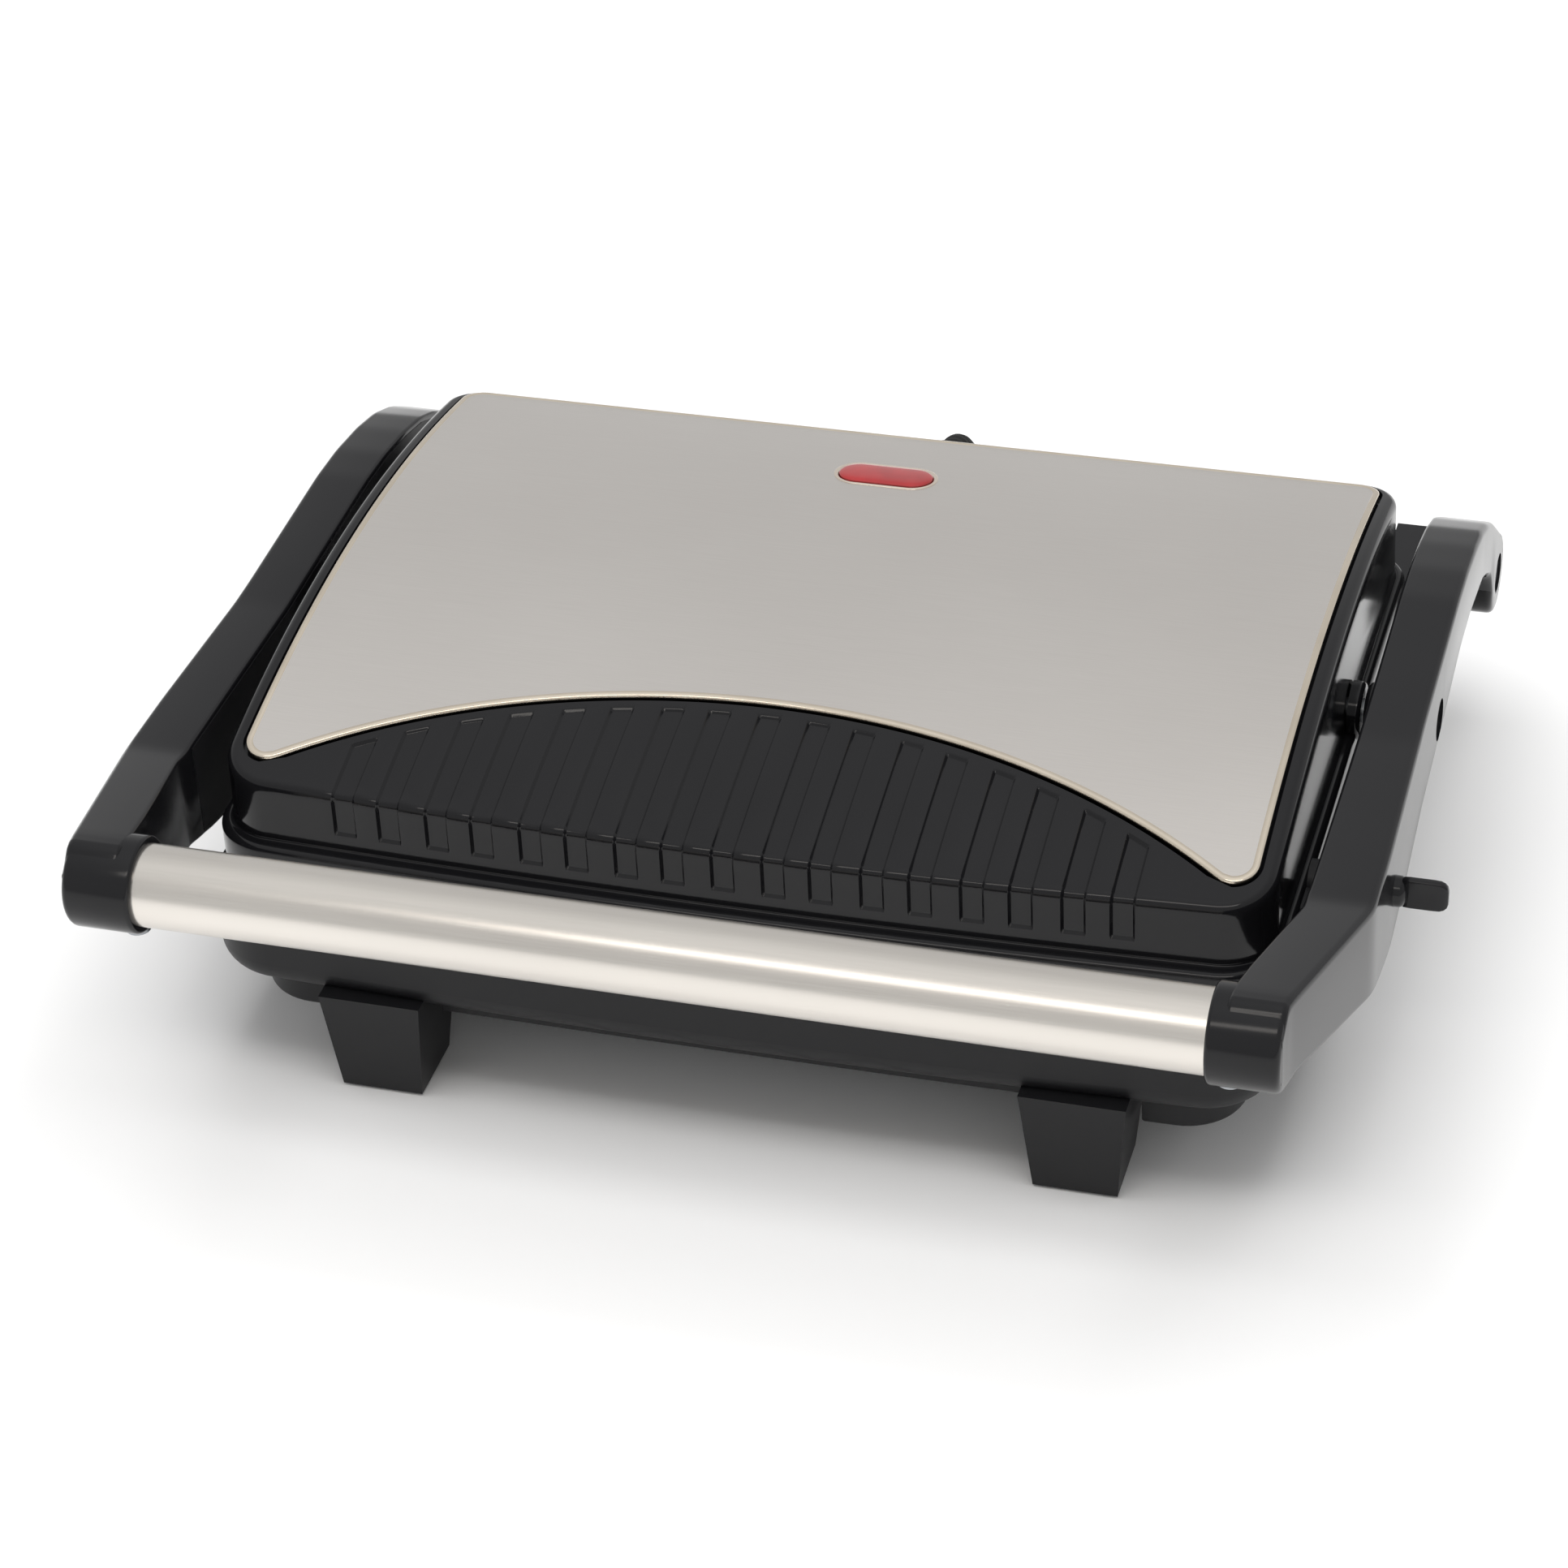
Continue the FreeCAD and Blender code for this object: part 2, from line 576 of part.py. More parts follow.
def foot_pads():
    """Thin rubber pads under the four legs."""
    width = "Sizes.leg_width - 2 * Sizes.pad_margin"
    depth = "Sizes.leg_depth - 2 * Sizes.pad_margin"
    fronts = {"front": "-Sizes.leg_front + Sizes.pad_margin",
              "rear": "Sizes.leg_rear - Sizes.leg_depth + Sizes.pad_margin"}
    sides = {"right": "Sizes.leg_inner + Sizes.pad_margin",
             "left": "-Sizes.leg_inner - Sizes.leg_width + Sizes.pad_margin"}
    pads = [block("%s_%s_pad" % (row, side), (x, y, "0"), width, depth, "Sizes.pad_drop")
            for row, y in fronts.items() for side, x in sides.items()]
    return hand_over(grouped("foot_pads", pads), "foot_pads")


# ---------------------------------------------------------------- handle arms

def arm_profile(inset=0.0):
    """Side view of an arm: hook at the hinge, shallow belly, round lug at the handle."""
    y_hinge = size("hinge_back")
    z_hinge = size("hinge_height")
    y_lug = -size("handle_front")
    z_lug = size("handle_height")
    hook = size("hinge_round") - inset
    lug = size("lug_round") - inset
    top = [(y_lug + 1.5, z_lug + lug), (-86.0, 81.6 - inset), (-17.0, 80.6 - inset), (43.0, 83.2 - inset),
           (57.0, 82.8 - inset), (72.0, 81.0 - inset), (84.0, 78.4 - inset), (95.0 - inset, 74.2 - inset),
           (107.0 - inset, 67.2 - inset), (119.0 - inset, 57.8 - inset), (127.0 - inset, 50.2),
           (y_hinge + hook, z_hinge)]
    bottom = [(y_hinge - hook, z_hinge), (105.0, 51.6 + inset), (97.0, 56.4 + inset), (88.0, 60.4 + inset),
              (66.0, 63.4 + inset), (50.0, 63.2 + inset), (26.0, 58.8 + inset), (-5.0, 54.4 + inset),
              (-34.0, 50.4 + inset), (-60.0, 49.4 + inset), (-76.0, 52.4 + inset),
              (y_lug + 3.5, z_lug - lug)]
    blade = extrude(side_wire(top + bottom), Vector(FAR / 2, 0, 0))
    ends = [rod(Vector(0, y_hinge, z_hinge), X_AXIS, hook, FAR / 2),
            rod(Vector(0, y_lug, z_lug), X_AXIS, lug, FAR / 2)]
    return blade.multiFuse(ends).removeSplitter()


def arm_plan(wall=0.0):
    """Top view of the right arm: straight beside the lid, drawn in to the lug at the front."""
    inner = size("arm_inner")
    outer = ARM_OUTER - wall
    lug = size("lug_outer") - wall
    shoulder = size("tube_half")
    front = -HANDLE_TIP - 1
    bar = -size("handle_front")
    points = [(inner, FAR / 2), (inner, bar + 47.2), (inner - 5.8, bar + 13.6), (shoulder, bar + 11.0),
              (shoulder, front), (lug, front), (lug + 0.4, bar - 2.8), (outer + size("arm_bulge"), -86.0),
              (outer + size("arm_bulge"), -64.0), (outer, -8.0), (outer, FAR / 2)]
    return extrude(flat_wire(points, -1), Vector(0, 0, FAR))


def handle_arm(with_latch):
    arm = arm_profile().common(arm_plan())
    cover = size("arm_cover")
    hollow = arm_profile(size("arm_wall")).common(box(size("arm_inner") - 1, ARM_OUTER - size("arm_wall"),
                                                      -80, 92, 0, FAR))
    seat = arm_profile(size("arm_wall") / 2).common(box(size("arm_inner") - 1, size("arm_inner") + cover,
                                                        -82, 94, 0, FAR))
    pillar = rod(Vector(size("arm_inner") + cover, size("pivot_back"), size("pivot_height")), X_AXIS, 8.6, 20)
    hollow = hollow.cut(pillar)
    if with_latch:
        post_start = Vector(size("arm_inner") + cover + 3, -size("latch_front"), size("latch_height"))
        post = rod(post_start, X_AXIS, 7, 20)
        hollow = hollow.cut(post)
    arm = arm.cut(hollow).cut(seat)
    y_hinge, z_hinge = size("hinge_back"), size("hinge_height")
    arm = arm.cut(rod(Vector(0, y_hinge, z_hinge), X_AXIS, size("hinge_pin") + size("running_gap"), FAR))
    arm = arm.cut(rod(Vector(ARM_OUTER - size("head_depth"), y_hinge, z_hinge), X_AXIS,
                      size("head_recess"), 20))
    y_pivot, z_pivot = size("pivot_back"), size("pivot_height")
    arm = arm.cut(rod(Vector(0, y_pivot, z_pivot), X_AXIS, size("pivot_pin"), FAR))
    arm = arm.cut(rod(Vector(ARM_OUTER - size("head_depth"), y_pivot, z_pivot), X_AXIS,
                      size("head_recess"), 20))
    if with_latch:
        hub = size("latch_hub") + size("running_gap")
        arm = arm.cut(rod(Vector(0, -size("latch_front"), size("latch_height")), X_AXIS, hub, FAR))
    y_lug, z_lug = -size("handle_front"), size("handle_height")
    seat_end = size("tube_half") + size("tube_seat")
    arm = arm.cut(rod(Vector(0, y_lug, z_lug), X_AXIS, size("tube_radius"), seat_end))
    arm = arm.cut(rod(Vector(size("tube_half") + 4, y_lug, z_lug - 20), Z_AXIS, 1.6, 20))
    return arm.removeSplitter()


def arm_cover(with_latch):
    """Flat strip that closes the hollow side of an arm."""
    gap = size("fit_gap") / 4
    strip = arm_profile(size("arm_wall") / 2 + gap)
    strip = strip.common(box(size("arm_inner"), size("arm_inner") + size("arm_cover"), -82 + gap, 94 - gap,
                             0, FAR))
    strip = strip.cut(rod(Vector(0, size("pivot_back"), size("pivot_height")), X_AXIS,
                          size("pivot_pin") + gap, FAR))
    if with_latch:
        strip = strip.cut(rod(Vector(0, -size("latch_front"), size("latch_height")), X_AXIS,
                              size("latch_hub") + 0.5, FAR))
    return strip


def arm_boss():
    """Round-ended spacer between arm and lid on the pivot line."""
    inner = size("boss_joint") + size("body_gap") / 2
    start = Vector(inner, size("pivot_back"), size("pivot_height"))
    boss = rod(start, X_AXIS, size("pivot_boss"), size("arm_inner") - inner)
    rim = [e for e in boss.Edges if e.Closed and abs(e.CenterOfMass.x - inner) < 0.01]
    boss = boss.makeFillet(1.2, rim)
    return boss.cut(rod(start, X_AXIS, size("pivot_pin"), 40))


def headed_pin(label, y, z, radius, tip, lift):
    """Cross-recessed pin along X, its head lifted off the floor of the arm's recess."""
    seat = "Sizes.arm_inner + Sizes.arm_width - Sizes.head_depth + " + lift
    shank = cylinder(label + "_shank", (tip, y, z), "X", radius, "%s - (%s)" % (seat, tip))
    head = cylinder(label + "_head", (seat, y, z), "X", "Sizes.head_recess - 0.5", "2.2")
    slots = []
    for name, wide, tall in (("flat", 3.0, 0.6), ("upright", 0.6, 3.0)):
        corner = (seat + " + 1", "%s - %s" % (y, wide), "%s - %s" % (z, tall))
        slots.append(block("%s_%s_slot" % (label, name), corner, "3", str(2 * wide), str(2 * tall)))
    pin = fused(label + "_blank", [shank, head])
    return hand_over(cut_from("right_" + label, pin, slots), "right_" + label)


def hinge_pin():
    return headed_pin("hinge_pin", "Sizes.hinge_back", "Sizes.hinge_height", "Sizes.hinge_pin",
                      "Sizes.arm_inner - Sizes.body_gap - 11", "Sizes.head_lift")


def pivot_pin():
    return headed_pin("pivot_pin", "Sizes.pivot_back", "Sizes.pivot_height", "Sizes.pivot_pin",
                      "Sizes.lid_half_width - 5.5", "0")


def handle_tube():
    """Brushed steel tube across the front, drilled for a screw at each end."""
    reach = "Sizes.tube_half + Sizes.tube_seat"
    at = ("-(%s)" % reach, "-Sizes.handle_front", "Sizes.handle_height")
    outside = cylinder("tube_outside", at, "X", "Sizes.tube_radius", "2 * (%s)" % reach)
    bore = cylinder("tube_bore", at, "X", "Sizes.tube_radius - Sizes.tube_wall", "2 * (%s)" % reach)
    holes = [screw_hole("tube_right_hole", "1"), screw_hole("tube_left_hole", "-1")]
    return hand_over(cut_from("handle_tube", outside, [bore] + holes), "handle_tube")


def screw_hole(label, side):
    at = (side + " * (Sizes.tube_half + 4)", "-Sizes.handle_front", "Sizes.handle_height - 20")
    return cylinder(label, at, "Z", "1.6", "20")


def tube_plug():
    """Moulded plug that stiffens the tube's end and takes the screw."""
    start = "Sizes.tube_half + Sizes.tube_seat - 22"
    at = (start, "-Sizes.handle_front", "Sizes.handle_height")
    body = cylinder("plug_body", at, "X", "Sizes.tube_radius - Sizes.tube_wall", "22")
    room = cylinder("plug_room", at, "X", "Sizes.tube_radius - Sizes.tube_wall - 3", "12")
    tools = [room, screw_hole("plug_hole", "1")]
    return hand_over(cut_from("right_tube_plug", body, tools), "right_tube_plug")


def handle_screws():
    """The screws that hold the tube in its lugs, driven from below."""
    screws = []
    for name, side in (("right", "1"), ("left", "-1")):
        x = side + " * (Sizes.tube_half + 4)"
        base = "Sizes.handle_height - Sizes.lug_round"
        shank = cylinder(name + "_screw_shank", (x, "-Sizes.handle_front", base + " - 0.2"), "Z", "1.6",
                         "Sizes.lug_round - 1")
        head = cylinder(name + "_screw_head", (x, "-Sizes.handle_front", base + " - 1.6"), "Z", "3.0", "1.5")
        screws.append(fused(name + "_screw", [shank, head]))
    return hand_over(grouped("handle_screws", screws), "handle_screws")


# ---------------------------------------------------------------- latch

def latch_lever():
    """Quarter-turn latch: finger tab outside, hub through the arm."""
    y = -size("latch_front")
    z = size("latch_height")
    inside = size("lid_half_width") + size("lip_side") + size("body_gap")
    tab_end = ARM_OUTER + size("latch_reach")
    hub_end = tab_end - size("latch_tab")
    hub = rod(Vector(inside, y, z), X_AXIS, size("latch_hub"), hub_end - inside)
    half_tab = size("latch_tab_height") / 2
    half_sheet = size("latch_tab_sheet") / 2
    tab = box(hub_end - 1, tab_end, y - half_sheet, y + half_sheet, z - half_tab, z + half_tab)
    corners = [e for e in tab.Edges if e.BoundBox.YLength > 1 and e.BoundBox.XMin > tab_end - 0.1]
    return join([hub, tab.makeFillet(2.2, corners)])


def latch_hook():
    """Bar with a toe on the hub's inner end; a quarter turn takes the toe under the base's catch."""
    inside = "Sizes.lid_half_width + Sizes.lip_side + Sizes.body_gap"
    thick = "Sizes.arm_inner - Sizes.body_gap / 2 - (%s)" % inside
    tip = "-Sizes.latch_front - Sizes.latch_hook"
    bar = block("hook_bar", (inside, tip, "Sizes.latch_height - 1.5"), thick, "Sizes.latch_hook", "3")
    toe = block("hook_toe", (inside, tip, "Sizes.latch_height - 6.5"), thick, "1.9", "6.5")
    eye = cylinder("hook_eye", (inside, "-Sizes.latch_front", "Sizes.latch_height"), "X",
                   "Sizes.latch_hub + 1.4", thick)
    bore = cylinder("hook_bore", (inside, "-Sizes.latch_front", "Sizes.latch_height"), "X",
                    "Sizes.latch_hub", thick)
    return hand_over(cut_from("latch_hook", fused("hook_blank", [bar, toe, eye]), [bore]), "latch_hook")


def latch_ring():
    """Spring clip on the latch hub inside the arm."""
    at = ("Sizes.arm_inner + Sizes.arm_cover + 0.9", "-Sizes.latch_front", "Sizes.latch_height")
    disc = cylinder("ring_disc", at, "X", "Sizes.latch_hub + 1.6", "1.0")
    bore = cylinder("ring_bore", at, "X", "Sizes.latch_hub", "1.0")
    return hand_over(cut_from("latch_ring", disc, [bore]), "latch_ring")


# ---------------------------------------------------------------- electrics

def thermostat(label, level):
    """Bimetal disc thermostat: round body with two tab terminals."""
    body = cylinder(label + "_body", ("-30", "0", level), "Z", "8.0", "5.0")
    tabs = [block("%s_tab_%d" % (label, n), ("%d - 2.4" % x, "-0.4", level + " + 5"), "4.8", "0.8", "2.2")
            for n, x in ((1, -34), (2, -26))]
    return hand_over(fused(label, [body] + tabs), label)


def thermal_fuse(level):
    """Axial thermal cut-off with its two leads."""
    barrel = cylinder("fuse_barrel", ("24", "40", level), "X", "2.0", "12")
    leads = cylinder("fuse_leads", ("16", "40", level), "X", "0.5", "28")
    return hand_over(fused("thermal_fuse", [barrel, leads]), "thermal_fuse")


def terminal_block():
    floor = "Sizes.base_floor + Sizes.base_wall"
    body = block("terminal_body", ("-49", "Sizes.base_back - 17", floor), "32", "11", "7")
    holes = []
    for number, x in enumerate(("-43", "-33", "-23"), start=1):
        clamp = (x, "Sizes.base_back - 11.5", floor + " + 3")
        wire = (x, "Sizes.base_back - 20", floor + " + 2.6")
        holes.append(cylinder("clamp_hole_%d" % number, clamp, "Z", "2.2", "10"))
        holes.append(cylinder("wire_hole_%d" % number, wire, "Y", "1.6", "20"))
    return hand_over(cut_from("terminal_block", body, holes), "terminal_block")


def wall_bush(label, x, wall, z, bore, radius, rim, inner, outer):
    """Round bush through a back wall, with its rim outside."""
    neck = cylinder(label + "_neck", (x, wall + " - " + inner, z), "Y", radius, inner)
    collar = cylinder(label + "_collar", (x, wall, z), "Y", rim, outer)
    hole = cylinder(label + "_hole", (x, wall + " - 10", z), "Y", bore, "30")
    return hand_over(cut_from(label, fused(label + "_blank", [neck, collar]), [hole]), label)


def loom_routes():
    """Route from the base's back wall to the lid's back wall, parted beside the hinge line."""
    x = size("loom_offset")
    base_exit = size("base_back")
    lid_exit = size("lid_back")
    entry = size("loom_entry")
    points = [Vector(x, base_exit, 38), Vector(x, base_exit + 12, 38), Vector(x, base_exit + 20, 48),
              Vector(x, base_exit + 21, 63), Vector(x, lid_exit + 12, entry), Vector(x, lid_exit, entry)]
    parting = (points[2] + points[3]) / 2
    return points[:3] + [parting], [parting] + points[3:]


def loom_run(points):
    """Tube along straight runs joined by tangent arcs at the inner points."""
    edges = []
    start = points[0]
    for before, at, after in zip(points, points[1:], points[2:]):
        toward = (after - at).normalize()
        back = (before - at).normalize()
        turn = math.pi - toward.getAngle(back)
        reach = 0.45 * min((after - at).Length, (before - at).Length)
        radius = reach / math.tan(turn / 2)
        first = at + back * reach
        last = at + toward * reach
        bisector = (toward + back).normalize()
        middle = at + bisector * (math.sqrt(radius ** 2 + reach ** 2) - radius)
        edges.append(Part.makeLine(start, first))
        edges.append(Part.Arc(first, middle, last).toShape())
        start = last
    edges.append(Part.makeLine(start, points[-1]))
    path = Part.Wire(edges)
    ring = Part.Wire(Part.makeCircle(size("loom_radius"), points[0], points[1] - points[0]))
    return path.makePipeShell([ring], True, False)


def loom_hole():
    start = Vector(size("loom_offset"), size("lid_back") - 8, size("loom_entry"))
    return rod(start, Y_AXIS, size("loom_radius") + 1.5, 12)


def cover_screws():
    """Screw heads that hold the bottom cover."""
    heads = []
    for number, (x, y) in enumerate(((-110, 0), (110, 0), (-110, 60), (110, 60)), start=1):
        at = (str(x), str(y), "Sizes.cover_height - 1.2")
        heads.append(cylinder("cover_screw_%d" % number, at, "Z", "3.2", "1.2"))
    return hand_over(grouped("cover_screws", heads), "cover_screws")


# ---------------------------------------------------------------- assembly

feature("lid_shell", lid_shell())
feature("top_panel", top_panel())
feature("indicator_lens", indicator_lens())
neon_lamp()
lamp_holder()
feature("base_housing", base_housing())
latch_catch()
feature("bottom_cover", bottom_cover())
foot_pads()
cover_screws()
upper_back = heated_plate("upper_plate", "Sizes.parting_height + Sizes.parting_gap", False)
lower_back = heated_plate("lower_plate", "Sizes.parting_height - Sizes.parting_gap", True)
reflector("upper_reflector", upper_back + 2 * size("element_radius") + size("reflector_gap"), True)
reflector("lower_reflector", lower_back - 2 * size("element_radius") - size("reflector_gap"), False)
thermostat("upper_thermostat", "%.3f" % upper_back)
thermostat("lower_thermostat", "%.3f - 7.2" % lower_back)
thermal_fuse("%.3f" % (upper_back + 2.0))
terminal_block()

feature("right_arm", handle_arm(True))
feature("left_arm", mirrored(handle_arm(False)))
feature("right_arm_cover", arm_cover(True))
feature("left_arm_cover", mirrored(arm_cover(False)))
right_hand = [
    (feature("right_arm_boss", arm_boss()), "left_arm_boss"),
    (feature("right_lid_boss", lid_boss()), "left_lid_boss"),
    (hinge_pin(), "left_hinge_pin"),
    (pivot_pin(), "left_pivot_pin"),
    (tube_plug(), "left_tube_plug"),
]
for right_piece, left_label in right_hand:
    left_hand(right_piece, left_label)
handle_tube()
handle_screws()
feature("latch_lever", latch_lever())
latch_hook()
latch_ring()

wall_bush("cord_gland", "-60", "Sizes.base_back", "37", "Sizes.cord_bore", "5.5", "8", "5", "2.5")
wall_bush("base_loom_bush", "Sizes.loom_offset", "Sizes.base_back", "38", "Sizes.loom_radius",
          "Sizes.loom_radius + 1.5", "Sizes.loom_radius + 3.2", "4", "2.4")
wall_bush("lid_loom_bush", "Sizes.loom_offset", "Sizes.lid_back", "Sizes.loom_entry", "Sizes.loom_radius",
          "Sizes.loom_radius + 1.5", "Sizes.loom_radius + 3.2", "4", "2.4")
lower_route, upper_route = loom_routes()
feature("loom_lower", loom_run(lower_route))
feature("loom_upper", loom_run(upper_route))

doc.recompute()
for item in doc.Objects:
    if {"Invalid", "Error"} & set(item.State):
        raise RuntimeError("%s is %s" % (item.Name, item.State))
for part in SUB_PARTS:
    if part.Shape.isNull() or not part.Shape.isValid():
        raise RuntimeError("%s has no valid shape" % part.Label)

os.makedirs("parts", exist_ok=True)
for part in SUB_PARTS:
    part.Shape.exportStep("parts/%s.step" % part.Label)
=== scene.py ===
import json
import math

import bmesh
import bpy
import numpy as np
from mathutils import Matrix, Vector


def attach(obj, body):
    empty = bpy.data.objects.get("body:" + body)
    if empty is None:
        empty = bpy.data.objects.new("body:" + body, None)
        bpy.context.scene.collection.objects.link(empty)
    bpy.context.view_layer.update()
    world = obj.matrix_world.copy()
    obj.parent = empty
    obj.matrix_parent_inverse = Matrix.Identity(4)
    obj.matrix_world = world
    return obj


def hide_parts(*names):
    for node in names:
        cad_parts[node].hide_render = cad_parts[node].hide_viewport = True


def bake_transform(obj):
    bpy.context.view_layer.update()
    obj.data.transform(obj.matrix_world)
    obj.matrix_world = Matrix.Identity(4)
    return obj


with open("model.json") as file:
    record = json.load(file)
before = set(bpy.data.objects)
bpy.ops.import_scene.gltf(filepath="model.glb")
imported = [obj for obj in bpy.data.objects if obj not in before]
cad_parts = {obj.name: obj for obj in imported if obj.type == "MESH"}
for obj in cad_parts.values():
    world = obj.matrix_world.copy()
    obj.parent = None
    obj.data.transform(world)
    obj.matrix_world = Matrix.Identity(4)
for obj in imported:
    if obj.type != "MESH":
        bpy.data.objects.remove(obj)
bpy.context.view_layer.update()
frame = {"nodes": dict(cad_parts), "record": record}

# A closed panini press: black shells, a steel plate let into the arched lid, a steel bar on two arms.
# Shapes are worked out in millimetres about the lid's middle, then moved into the part's own frame.
SHIFT = Vector((-6.3, 9.15, 0.0))
MM = 0.001

# ---------------------------------------------------------------- mesh helpers


def into_frame(points):
    """Millimetres about the lid's middle to metres in the part's frame."""
    return (np.asarray(points, float) + np.array(SHIFT)) * MM


def make_piece(name, points, faces, body, material, node=None, sharp=38.0):
    """A named mesh that rides on a body, with its finish and the CAD node it stands for."""
    mesh = bpy.data.meshes.new(name)
    mesh.from_pydata(into_frame(points).tolist(), [], faces)
    bm = bmesh.new()
    bm.from_mesh(mesh)
    bmesh.ops.remove_doubles(bm, verts=bm.verts, dist=2e-6)
    bmesh.ops.dissolve_degenerate(bm, edges=bm.edges, dist=1e-7)
    bmesh.ops.recalc_face_normals(bm, faces=bm.faces)
    bm.to_mesh(mesh)
    bm.free()
    mesh.shade_smooth()
    mesh.set_sharp_from_angle(angle=math.radians(sharp))
    mesh.materials.append(material)
    piece = bpy.data.objects.new(name, mesh)
    bpy.context.scene.collection.objects.link(piece)
    if body:
        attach(piece, body)
    if node:
        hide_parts(*([node] if isinstance(node, str) else node))
    return piece


def quads(rows, columns, wrap=False, start=0):
    """Faces of a grid of rows by columns; wrap joins the last column to the first."""
    across = columns if wrap else columns - 1
    faces = []
    for r in range(rows - 1):
        for c in range(across):
            n = (c + 1) % columns
            faces.append((start + r * columns + c, start + r * columns + n,
                          start + (r + 1) * columns + n, start + (r + 1) * columns + c))
    return faces


def grid_mesh(rows, wrap=False, start_cap=False, end_cap=False):
    """Points and faces of a stack of rows of equal length."""
    rows = np.asarray(rows, float)
    count, columns = rows.shape[:2]
    faces = quads(count, columns, wrap)
    if start_cap:
        faces.append(tuple(range(columns)))
    if end_cap:
        faces.append(tuple((count - 1) * columns + c for c in range(columns)))
    return rows.reshape(-1, 3), faces


def merge(parts):
    """Several (points, faces) as one."""
    points, faces, offset = [], [], 0
    for part_points, part_faces in parts:
        points.append(part_points)
        faces += [tuple(i + offset for i in face) for face in part_faces]
        offset += len(part_points)
    return np.vstack(points), faces


def arc_points(centre, radius, start, end, count):
    """Points (a, b) on an arc, angles in degrees."""
    angles = np.radians(np.linspace(start, end, count))
    return np.stack([centre[0] + radius * np.cos(angles), centre[1] + radius * np.sin(angles)], 1)


def turned(profile, at, axis, count=64):
    """Profile of (distance along axis, radius) pairs turned about an axis line through at."""
    angles = np.linspace(0, 2 * math.pi, count, endpoint=False)
    rows = []
    for along, radius in profile:
        ring = np.zeros((count, 3))
        side = {"X": (1, 2), "Y": (2, 0), "Z": (0, 1)}[axis]
        ring[:, "XYZ".index(axis)] = at["XYZ".index(axis)] + along
        ring[:, side[0]] = at[side[0]] + radius * np.cos(angles)
        ring[:, side[1]] = at[side[1]] + radius * np.sin(angles)
        rows.append(ring)
    return grid_mesh(rows, wrap=True)


def smooth_step(value):
    """Eases 0 to 1 with level ends."""
    value = np.clip(value, 0.0, 1.0)
    return value * value * (3 - 2 * value)


# ---------------------------------------------------------------- materials


def linear(hex_colour):
    """sRGB hex to a linear RGBA colour."""
    channels = [int(hex_colour[i:i + 2], 16) / 255 for i in (1, 3, 5)]
    return [c / 12.92 if c <= 0.04045 else ((c + 0.055) / 1.055) ** 2.4 for c in channels] + [1.0]


def add_node(material, kind, links=None, **settings):
    """One node with its settings; links maps an input's name or number to the socket that feeds it."""
    tree = material.node_tree
    node = tree.nodes.new(kind)
    for key, value in settings.items():
        if key.startswith("in_"):
            node.inputs[key[3:].replace("_", " ")].default_value = value
        else:
            setattr(node, key, value)
    for key, socket in (links or {}).items():
        tree.links.new(socket, node.inputs[key])
    return node


def new_material(name):
    """A node material that holds only its output."""
    material = bpy.data.materials.new(name)
    material.use_nodes = True
    material.node_tree.nodes.remove(material.node_tree.nodes["Principled BSDF"])
    return material


def finish_material(material, shader):
    """Joins the shader to the output."""
    output = material.node_tree.nodes["Material Output"]
    material.node_tree.links.new(shader.outputs[0], output.inputs["Surface"])
    return material


def two_tone(material, factor, dark, light):
    """Mixes two colours by a pattern."""
    ramp = add_node(material, "ShaderNodeValToRGB", {"Fac": factor})
    ramp.color_ramp.elements[0].color = linear(dark)
    ramp.color_ramp.elements[1].color = linear(light)
    return ramp.outputs["Color"]


def spread(material, factor, low, high):
    """Maps a 0 to 1 pattern to a range."""
    node = add_node(material, "ShaderNodeMapRange", {"Value": factor})
    node.inputs["To Min"].default_value = low
    node.inputs["To Max"].default_value = high
    return node.outputs["Result"]


def moulded_black(name, dark, light, rough_low, rough_high, grain_mm, dent):
    """Injection-moulded black plastic: even colour, faint flow variation, fine grain."""
    material = new_material(name)
    place = add_node(material, "ShaderNodeTexCoord").outputs["Object"]
    cloud = add_node(material, "ShaderNodeTexNoise", {"Vector": place}, in_Scale=28.0, in_Detail=3.0)
    grain = add_node(material, "ShaderNodeTexNoise", {"Vector": place},
                     in_Scale=1000.0 / grain_mm, in_Detail=2.0)
    bump = add_node(material, "ShaderNodeBump", {"Height": grain.outputs["Fac"]}, in_Strength=dent,
                    in_Distance=0.0001)
    shader = add_node(material, "ShaderNodeBsdfPrincipled", {
        "Base Color": two_tone(material, cloud.outputs["Fac"], dark, light),
        "Roughness": spread(material, cloud.outputs["Fac"], rough_low, rough_high),
        "Normal": bump.outputs["Normal"]}, in_IOR=1.38)
    return finish_material(material, shader)


